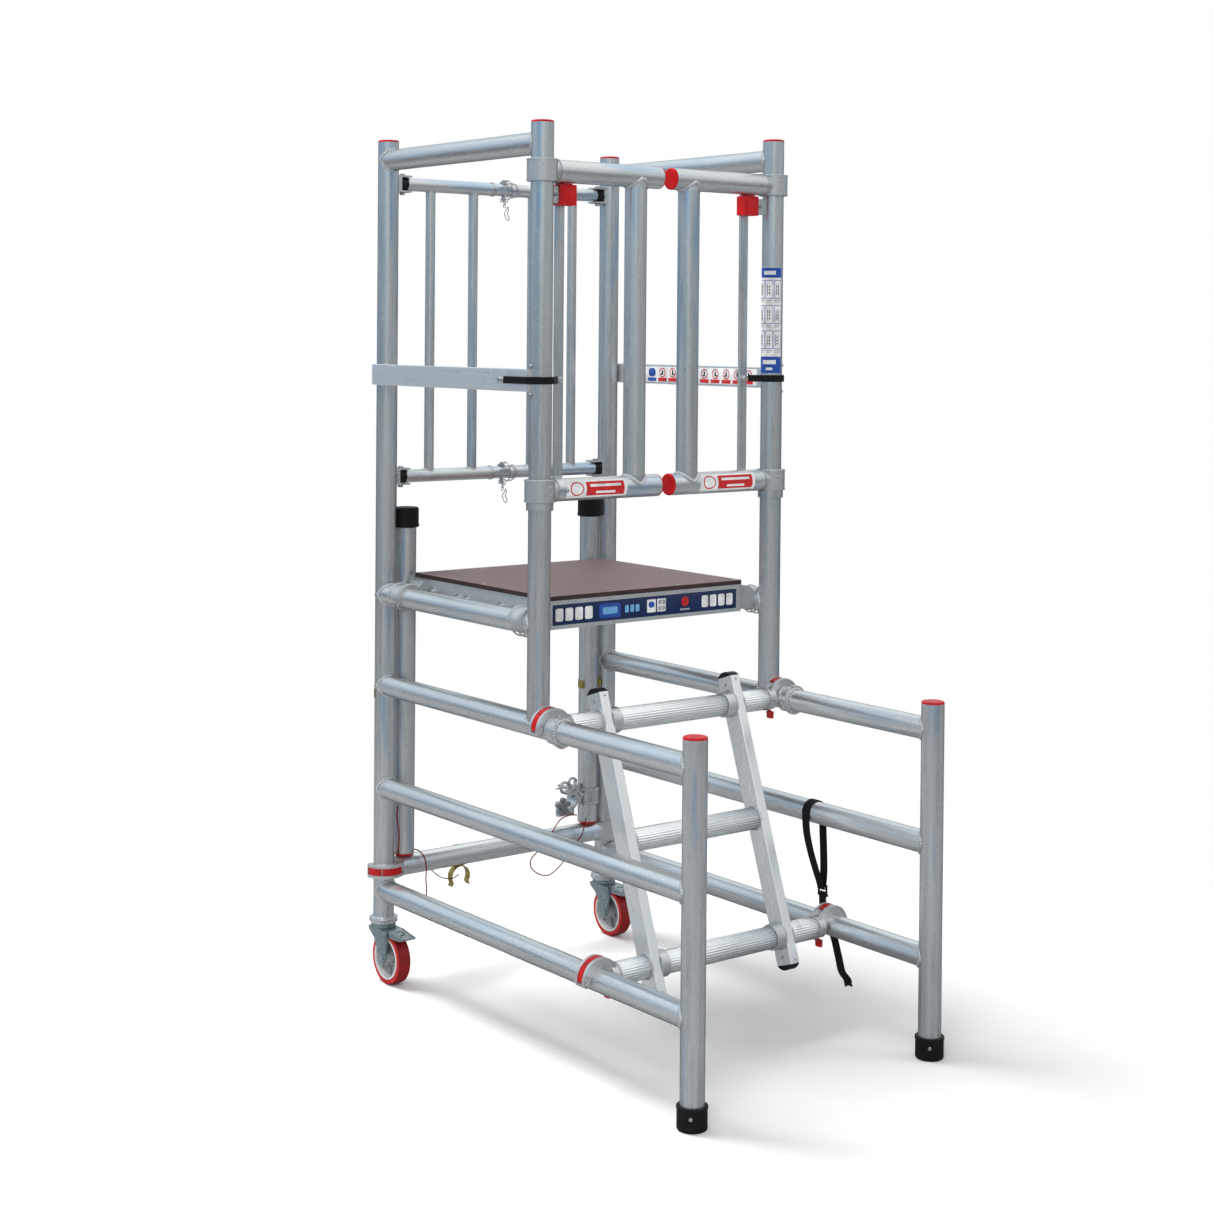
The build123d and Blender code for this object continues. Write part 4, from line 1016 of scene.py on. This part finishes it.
def fascia_band():
    lo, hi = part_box("deck_beams")
    y = lo.y
    z = (lo.z + hi.z) / 2 - 0.0005
    plate("fascia_band", VINYL_NAVY, (-0.004, y, z), EAST, UP, 0.544, 0.046)
    white = Shape()
    blocks = [(-0.262 + 0.0275 * i, 0.0215, 0.029) for i in range(4)]
    blocks += [(0.164 + 0.0255 * i, 0.02, 0.028) for i in range(4)]
    for x, width, height in blocks:
        white.sticker((x + 0.006, y - 0.0008, z), EAST, width, height, 0.0045)
    for x in (0.03, 0.06):
        white.sticker((x - 0.022, y - 0.0008, z + 0.001), EAST, 0.026, 0.03, 0.002)
    white.piece("fascia_white_blocks", VINYL_WHITE)
    blue = Shape()
    blue.sticker((-0.113, y - 0.0008, z), EAST, 0.062, 0.033, 0.007)
    blue.sticker((0.008, y - 0.0012, z + 0.004), EAST, 0.017, 0.014, 0.006)
    blue.piece("fascia_blue_blocks", VINYL_BLUE)
    sky = Shape()
    sky.sticker((-0.113, y - 0.0012, z), EAST, 0.043, 0.016, 0.005)
    for i in range(3):
        sky.sticker((-0.064 + 0.0155 * i, y - 0.0008, z), EAST, 0.011, 0.017, 0.003)
    sky.piece("fascia_sky_blocks", VINYL_SKY)
    grey = Shape()
    for i, x in enumerate((0.033, 0.033, 0.045, 0.045)):
        grey.sticker((x, y - 0.0012, z + (0.008 if i % 2 else -0.006)), EAST, 0.009, 0.01, 0.001)
    grey.sticker((0.109, y - 0.0008, z - 0.014), EAST, 0.03, 0.004, 0.001)
    grey.piece("fascia_grey_blocks", VINYL_GREY)
    red = Shape()
    red.turned((0.109, y - 0.0003, z + 0.004), -NORTH, [(0.0, 0.0115), (0.0006, 0.0115), (0.0009, 0.011)], 40)
    red.piece("fascia_red_disc", VINYL_RED)


def post_label():
    """Curved instruction panel on the right front post, drawn as plain blocks."""
    centre = (HALF_W, POST_Y, 0.0)
    low, high = 1.492, 1.744

    def blocks(name, material, rows, lift):
        shape = Shape()
        for a0, a1, z0, z1 in rows:
            wrapped(shape, centre, UP, EAST, NORTH, TUBE_R, a0, a1, z0, z1, lift)
        shape.piece(name, material)

    blocks("post_label_sheet", VINYL_WHITE, [(140, 283, low, high)], 0.0)
    blocks("post_label_bands", VINYL_BLUE, [(140.5, 282.5, high - 0.024, high - 0.0005),
                                            (140.5, 282.5, low + 0.0005, low + 0.04)], 0.0003)
    frames, pads, ink, lines = [], [], [], []
    for row in range(3):
        top = high - 0.03 - row * 0.06
        for column in range(3):
            a0 = 146 + column * 46
            a1 = a0 + 41
            frames.append((a0, a1, top - 0.044, top))
            pads.append((a0 + 2.5, a1 - 2.5, top - 0.0425, top - 0.0015))
            ink.append((a0 + 9, a0 + 12, top - 0.036, top - 0.01))
            ink.append((a0 + 22, a0 + 25, top - 0.036, top - 0.01))
            for rung in range(3):
                ink.append((a0 + 9, a0 + 25, top - 0.0165 - rung * 0.0075, top - 0.015 - rung * 0.0075))
            lines.append((a0 + 2, a1 - 4 - 5 * (row % 2), top - 0.049, top - 0.047))
            lines.append((a0 + 2, a1 - 14, top - 0.0525, top - 0.051))
    blocks("post_label_frames", VINYL_BLUE, frames, 0.0003)
    blocks("post_label_pads", VINYL_WHITE, pads, 0.0006)
    blocks("post_label_pictures", VINYL_INK, ink, 0.0009)
    blocks("post_label_lines", VINYL_GREY, lines, 0.0003)
    blocks("post_label_marks", VINYL_WHITE, [(180, 246, high - 0.017, high - 0.008),
                                             (176, 250, low + 0.022, low + 0.032),
                                             (196, 232, low + 0.008, low + 0.014)], 0.0006)


def gate_labels():
    """Plain sticker on each lower gate tube: white sheet, red block, red ring."""
    z = GATE_Z[0]
    for side, label in SIDES:
        x0, x1 = (-0.284, -0.116) if side < 0 else (0.1, 0.268)
        centre = (0.0, POST_Y, z)
        sheet = Shape()
        wrapped(sheet, centre, EAST, -NORTH, UP, TUBE_R, -44, 52, x0, x1)
        sheet.piece(label + "_gate_label_sheet", VINYL_WHITE, label + "_gate")
        red = Shape()
        wrapped(red, centre, EAST, -NORTH, UP, TUBE_R, -32, 40, x0 + 0.054, x1 - 0.008, 0.0003)
        ring = []
        for i in range(48):
            a = 2 * pi * i / 48
            lift = 0.0146 * sin(a)
            turn = (lift + 0.0022) / TUBE_R
            ring.append(Vector((x0 + 0.028 + 0.0172 * cos(a), POST_Y - (TUBE_R + 0.0005) * cos(turn),
                                z + (TUBE_R + 0.0005) * sin(turn))))
        red.sweep(ring, round_rect(0.003, 0.0005, 0.0002, 1), side=None, closed=True)
        red.piece(label + "_gate_label_red", VINYL_RED, label + "_gate")
        marks = Shape()
        for row, (inset, high) in enumerate(((0.01, 0.0056), (0.026, 0.005))):
            mid = 0.0085 - 0.015 * row
            a0 = degrees((mid - high / 2) / TUBE_R)
            a1 = degrees((mid + high / 2) / TUBE_R)
            wrapped(marks, centre, EAST, -NORTH, UP, TUBE_R, a0, a1, x0 + 0.054 + inset, x1 - 0.008 - inset, 0.0006)
        marks.piece(label + "_gate_label_marks", VINYL_WHITE, label + "_gate")


def side_bar_label():
    """Long plain sticker on the inner face of the right side bar."""
    x = HALF_W + TUBE_R + 0.00002
    y0, y1 = 0.026, 0.462
    z = SIDE_BAR_Z
    mid = (y0 + y1) / 2
    plate("bar_label_sheet", VINYL_WHITE, (x, mid, z), -NORTH, UP, y1 - y0, 0.04)
    red, ink, blue = Shape(), Shape(), Shape()
    count = 10
    pitch = (y1 - y0 - 0.02) / count
    for i in range(count):
        y = y0 + 0.01 + pitch * (i + 0.5)
        first = i == count - 1
        band = blue if first else red
        band.sticker((x - 0.0007, y, z - 0.013), -NORTH, pitch * 0.8, 0.009, 0.0015)
        if first:
            blue.sticker((x - 0.0007, y, z + 0.005), -NORTH, pitch * 0.66, 0.021, 0.008)
            continue
        rim = arc((x - 0.0006, y, z + 0.005), NORTH, UP, 0.011, 0, 354, 40)
        red.sweep(rim, round_rect(0.0004, 0.0026, 0.0001, 1), side=EAST)
        ink.sticker((x - 0.0007, y, z + 0.005), -NORTH, 0.0055, 0.013, 0.0024)
        ink.sticker((x - 0.0007, y + 0.003 * (-1) ** i, z + 0.001), -NORTH, 0.009, 0.0034, 0.0015)
    red.piece("bar_label_red", VINYL_RED)
    ink.piece("bar_label_ink", VINYL_INK)
    blue.piece("bar_label_blue", VINYL_BLUE)


fascia_band()
post_label()
gate_labels()
side_bar_label()


# ------------------------------------------------------------ castors, clip, coupler
def castor_details(side, label):
    x = side * HALF_W
    rings = Shape()
    rings.band((x, REAR_Y, 0.143), UP, 32.0, [(0, 34.5), (1.6, 36.2), (5.2, 36.2), (6.8, 34.5)], 8)
    rings.band((x, REAR_Y, 0.1505), UP, 31.8, [(0, 34.5), (1.2, 35.2), (3.0, 35.2), (4.2, 34.5)])
    rings.piece(label + "_castor_rings", ZINC_PALE, angle=30.0)
    axle = middle(label + "_castor_tyre")
    leg = Shape()
    for face in (-1, 1):
        out = EAST * face
        fx = x + face * 0.0262
        for row in range(3):
            leg.slab((fx, axle.y + 0.005, 0.084 + 0.009 * row), NORTH * face, UP, (0.007 - 0.001 * row, 0.0046, 0.0012),
                     0.0018, 0.0004)
        leg.turned((fx - face * 0.0006, axle.y, axle.z), out, [(0.0, 0.0118), (0.0018, 0.0118), (0.0024, 0.011)], 36)
        leg.wire([Vector((fx, axle.y - 0.015, 0.1235)), Vector((fx, axle.y - 0.0165, 0.112)),
                  Vector((fx, axle.y - 0.012, 0.076))], 0.0012, sides=8)
    nuts = Shape()
    for face in (-1, 1):
        nuts.turned((x + face * 0.0274, axle.y, axle.z), EAST * face,
                    [(0.0, 0.0086), (0.0046, 0.0086), (0.0054, 0.0076)], 6)
    nuts.piece(label + "_axle_nuts", ZINC_PALE, label + "_castor", 30.0)
    leg.band((x, REAR_Y, 0.1312), UP, 24.0, [(0, 29.6), (3.0, 30.4), (6.0, 29.6)], 56)
    leg.piece(label + "_castor_embossing", ZINC, label + "_castor")
    pedal = Shape()
    tilt = atan2(10, 60)
    along = Vector((0, -cos(tilt), -sin(tilt)))

    def on_plate(a, b):
        return Vector((x + b, axle.y - 0.016, 0.1343)) + along * a

    curl = smooth_path([on_plate(0.016, -0.009), on_plate(0.014, 0.004), on_plate(0.022, 0.01),
                        on_plate(0.033, 0.006), on_plate(0.036, -0.006), on_plate(0.046, -0.011)], 8)
    pedal.wire(curl, 0.0019, sides=8)
    lip = [on_plate(0.0608, b / 1000) for b in range(-20, 21, 5)]
    pedal.wire(lip, 0.0016, sides=8)
    for b in (-0.0195, 0.0195):
        pedal.wire([on_plate(0.003, b), on_plate(0.06, b)], 0.0013, sides=8)
    pedal.piece(label + "_pedal_embossing", ZINC, label + "_pedal")


def hub_spokes(side, label):
    """Moulded ribs and a rim ring inside the wheel dish."""
    axle = middle(label + "_castor_tyre")
    shape = Shape()
    for face in (-1, 1):
        base = Vector((axle.x + face * 0.0052, axle.y, axle.z))
        for i in range(6):
            a = pi / 3 * i + 0.3
            out = NORTH * cos(a) + UP * sin(a)
            side_way = NORTH * -sin(a) + UP * cos(a)
            shape.slab(base + out * 0.03 + EAST * face * 0.0016, out, side_way, (0.029, 0.0042, 0.004), 0.002, 0.0008)
        shape.turned(base + EAST * face * 0.0098, EAST * face,
                     [(0.0, 0.0448), (0.0, 0.0506), (0.0022, 0.0506), (0.003, 0.0494), (0.003, 0.0458)],
                     64, closed=True)
    shape.piece(label + "_wheel_dish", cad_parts[label + "_castor_hub"].data.materials[0], label + "_wheel")


def coupler_details():
    """Hinged half coupler with its eye bolt, nut and washers on the right stabiliser clamp."""
    x, z = CLAMP_X - 0.076, CLAMP_Z
    bright = Shape()
    for dz in (-0.0175, 0.0175):
        rim = arc((x, REAR_Y, z + dz), EAST, -NORTH, 0.032, -96, 96, 40)
        bright.wire(rim, 0.0018, sides=8)
        grip = arc((CLAMP_X, REAR_Y, z + dz), EAST, NORTH, 0.0318, 0, 352, 48)
        bright.wire(grip, 0.0016, sides=8)
    for dx, size in ((0.01, 0.008), (0.026, 0.007)):
        bright.turned((x + dx, REAR_Y - 0.0285, z + 0.012), -NORTH, [(0.0, size + 0.003), (0.002, size + 0.003)], 28)
        bright.turned((x + dx, REAR_Y - 0.0305, z + 0.012), -NORTH,
                      [(0.0, size), (0.0055, size), (0.007, size * 0.86)], 6)
        bright.wire([Vector((x + dx, REAR_Y - 0.03, z + 0.012)), Vector((x + dx, REAR_Y - 0.046, z + 0.012))],
                    0.0036, sides=12)
    for dx, dz, radius in ((-0.022, 0.036, 0.0125), (0.004, 0.046, 0.0105)):
        eye = arc((x + dx, REAR_Y - 0.03, z + dz), (EAST + UP * 0.5).normalized(), (UP - EAST * 0.5).normalized(),
                  radius, 0, 352, 36)
        bright.wire(eye, 0.0034, sides=10)
    bright.wire(smooth_path([(x - 0.03, REAR_Y - 0.028, z + 0.026), (x - 0.012, REAR_Y - 0.03, z + 0.02),
                             (x + 0.01, REAR_Y - 0.029, z + 0.034), (x + 0.018, REAR_Y - 0.026, z + 0.052)]), 0.0046)
    bright.piece("coupler_details", CHROME, angle=30.0)


def foot_rims():
    shape = Shape()
    for side, label in SIDES:
        x = side * HALF_W
        shape.band((x, LEG_Y, 0.0425), UP, 30.8, [(0, 32.0), (1.6, 32.5), (4.8, 32.5), (6.0, 31.8)], 56)
        sx = side * (HALF_W - 0.057)
        shape.band((sx, REAR_Y, 1.107), UP, 30.8, [(0, 31.8), (1.6, 32.5), (4.8, 32.5), (6.0, 32.0)], 56)
    shape.piece("foot_rims", RUBBER)


for side, label in SIDES:
    castor_details(side, label)
    hub_spokes(side, label)
coupler_details()
foot_rims()


# ------------------------------------------------------------ stage
def floor():
    """Pale floor that turns pure white to the eye away from the tower."""
    size = 60.0
    mesh = bpy.data.meshes.new("floor")
    corners = [(-size, -size, 0.0), (size, -size, 0.0), (size, size, 0.0), (-size, size, 0.0)]
    mesh.from_pydata(corners, [], [(0, 1, 2, 3)])
    plane = bpy.data.objects.new("floor", mesh)
    bpy.context.scene.collection.objects.link(plane)
    s = Shader("pale_floor")
    speck = s.noise(s.coords, 160.0, 3.0)
    path = s.add("ShaderNodeLightPath")
    pale = s.ramp(speck, (0.3, 0.9), (0.7, 0.93))
    # Painted shade: to reflections the floor shows dark grey instead of its pale tone, so the metal above it looks
    # darker underneath.
    s.put(Base_Color=s.mix(path.outputs["Is Glossy Ray"], pale, (0.24, 0.25, 0.26)))
    s.put(Roughness=0.9, Specular_IOR_Level=0.1)
    glow = s.add("ShaderNodeEmission")
    s.feed(glow.inputs["Color"], (1.0, 1.0, 1.0))
    far = s.ramp(s.calc("MULTIPLY", s.length(s.coords), 0.1), (0.07, 0.0), (0.21, 1.0))
    blend = s.add("ShaderNodeMixShader")
    s.feed(blend.inputs[0], s.calc("MULTIPLY", far, path.outputs["Is Camera Ray"]))
    s.feed(blend.inputs[1], s.bsdf.outputs[0])
    s.feed(blend.inputs[2], glow.outputs[0])
    s.feed(s.tree.nodes["Material Output"].inputs["Surface"], blend.outputs[0])
    mesh.materials.append(s.mat)


def studio():
    """White to the eye and to matt surfaces; a soft sky and horizon for what metal reflects."""
    world = bpy.data.worlds.new("studio")
    world.use_nodes = True
    bpy.context.scene.world = world
    world.node_tree.nodes.clear()
    w = Nodes(world.node_tree, "Generated")
    patches = w.noise(w.place((2.6, 2.6, 0.6)), 1.15, 3.0, 0.5)
    leftward = w.add("ShaderNodeVectorMath", operation="DOT_PRODUCT")
    w.feed(leftward.inputs[0], w.coords)
    leftward.inputs[1].default_value = (-0.792, 0.61, 0.0)
    turned = w.calc("MULTIPLY_ADD", leftward.outputs["Value"], 0.5, w.calc("MULTIPLY_ADD", patches, 0.6, 0.2))
    sides = w.ramp(turned, (0.0, (0.16, 0.17, 0.17)), (0.24, (0.34, 0.35, 0.34)), (0.45, (0.88, 0.92, 0.93)),
                   (0.57, (0.46, 0.61, 0.68)), (0.72, (0.12, 0.34, 0.5)), (1.0, (0.08, 0.2, 0.36)))
    height = w.calc("MULTIPLY_ADD", w.split(w.coords)[2], 0.5, 0.5)
    rise = w.ramp(height, (0.0, (0.24, 0.25, 0.26)), (0.46, (0.26, 0.32, 0.36)), (0.54, (0.38, 0.49, 0.56)),
                  (0.66, (1.18, 1.21, 1.22)), (1.0, (1.95, 1.96, 1.96)))
    path = w.add("ShaderNodeLightPath")
    seen, mirrored = w.add("ShaderNodeBackground"), w.add("ShaderNodeBackground")
    w.feed(seen.inputs["Color"], (1.0, 1.0, 1.0))
    w.feed(seen.inputs["Strength"], w.calc("MULTIPLY_ADD", path.outputs["Is Diffuse Ray"], -0.52, 1.0))
    w.feed(mirrored.inputs["Color"], w.mix(0.55, rise, sides))
    pick = w.add("ShaderNodeMixShader")
    for socket, value in zip(pick.inputs, (path.outputs["Is Glossy Ray"], seen.outputs[0], mirrored.outputs[0])):
        w.feed(socket, value)
    w.feed(w.add("ShaderNodeOutputWorld").inputs["Surface"], pick.outputs[0])


def soft_light(name, place, target, size, power, colour=(1.0, 1.0, 1.0)):
    light = bpy.data.lights.new(name, "AREA")
    light.shape = "RECTANGLE"
    light.size, light.size_y = size
    light.energy = power
    light.color = colour
    lamp = bpy.data.objects.new(name, light)
    bpy.context.scene.collection.objects.link(lamp)
    lamp.location = place
    lamp.rotation_euler = (Vector(target) - Vector(place)).to_track_quat("-Z", "Y").to_euler()
    lamp.visible_camera = False
    lamp.visible_glossy = False


CAMERA_AT = (-2.95826, -3.68626, 1.58395)
FRAME_SHIFT = -0.19976


def photograph_camera():
    """Camera of the rest view; its frame shift fades out once the camera is moved elsewhere."""
    yaw, pitch, roll = radians(37.638), radians(0.8695), radians(0.4735)
    forward = Vector((sin(yaw) * cos(pitch), cos(yaw) * cos(pitch), -sin(pitch)))
    level = Vector((cos(yaw), -sin(yaw), 0.0))
    upright = level.cross(forward)
    right = level * cos(roll) + upright * sin(roll)
    up = upright * cos(roll) - level * sin(roll)
    data = bpy.data.cameras.new("camera")
    data.lens = 60.63
    data.sensor_width = 36.0
    data.clip_start, data.clip_end = 0.1, 200.0
    camera = bpy.data.objects.new("camera", data)
    bpy.context.scene.collection.objects.link(camera)
    turn = Matrix((right, up, -forward)).transposed()
    camera.matrix_world = Matrix.Translation(CAMERA_AT) @ turn.to_4x4()
    bpy.context.scene.camera = camera
    curve = data.driver_add("shift_y")
    while curve.modifiers:
        curve.modifiers.remove(curve.modifiers[0])
    curve.driver.type = "SUM"
    where = curve.driver.variables.new()
    where.type = "SINGLE_PROP"
    where.targets[0].id = camera
    where.targets[0].data_path = "location[0]"
    for step, shift in ((-0.03, 0.0), (0.0, FRAME_SHIFT), (0.03, 0.0)):
        key = curve.keyframe_points.insert(CAMERA_AT[0] + step, shift)
        key.interpolation = "LINEAR"


floor()
studio()
soft_light("key", (-1.1, 2.3, 5.2), (0.1, -0.1, 0.2), (2.7, 2.7), 370.0, (1.0, 0.995, 0.98))
soft_light("front", (-4.0, -3.2, 3.6), (0.0, 0.0, 1.0), (2.4, 3.0), 95.0, (1.0, 1.0, 0.99))
soft_light("fill", (3.4, -3.4, 2.6), (0.0, 0.0, 0.9), (1.8, 3.0), 45.0, (0.95, 0.98, 1.0))
photograph_camera()
view = bpy.context.scene.view_settings
view.view_transform = "Standard"
view.look = "None"
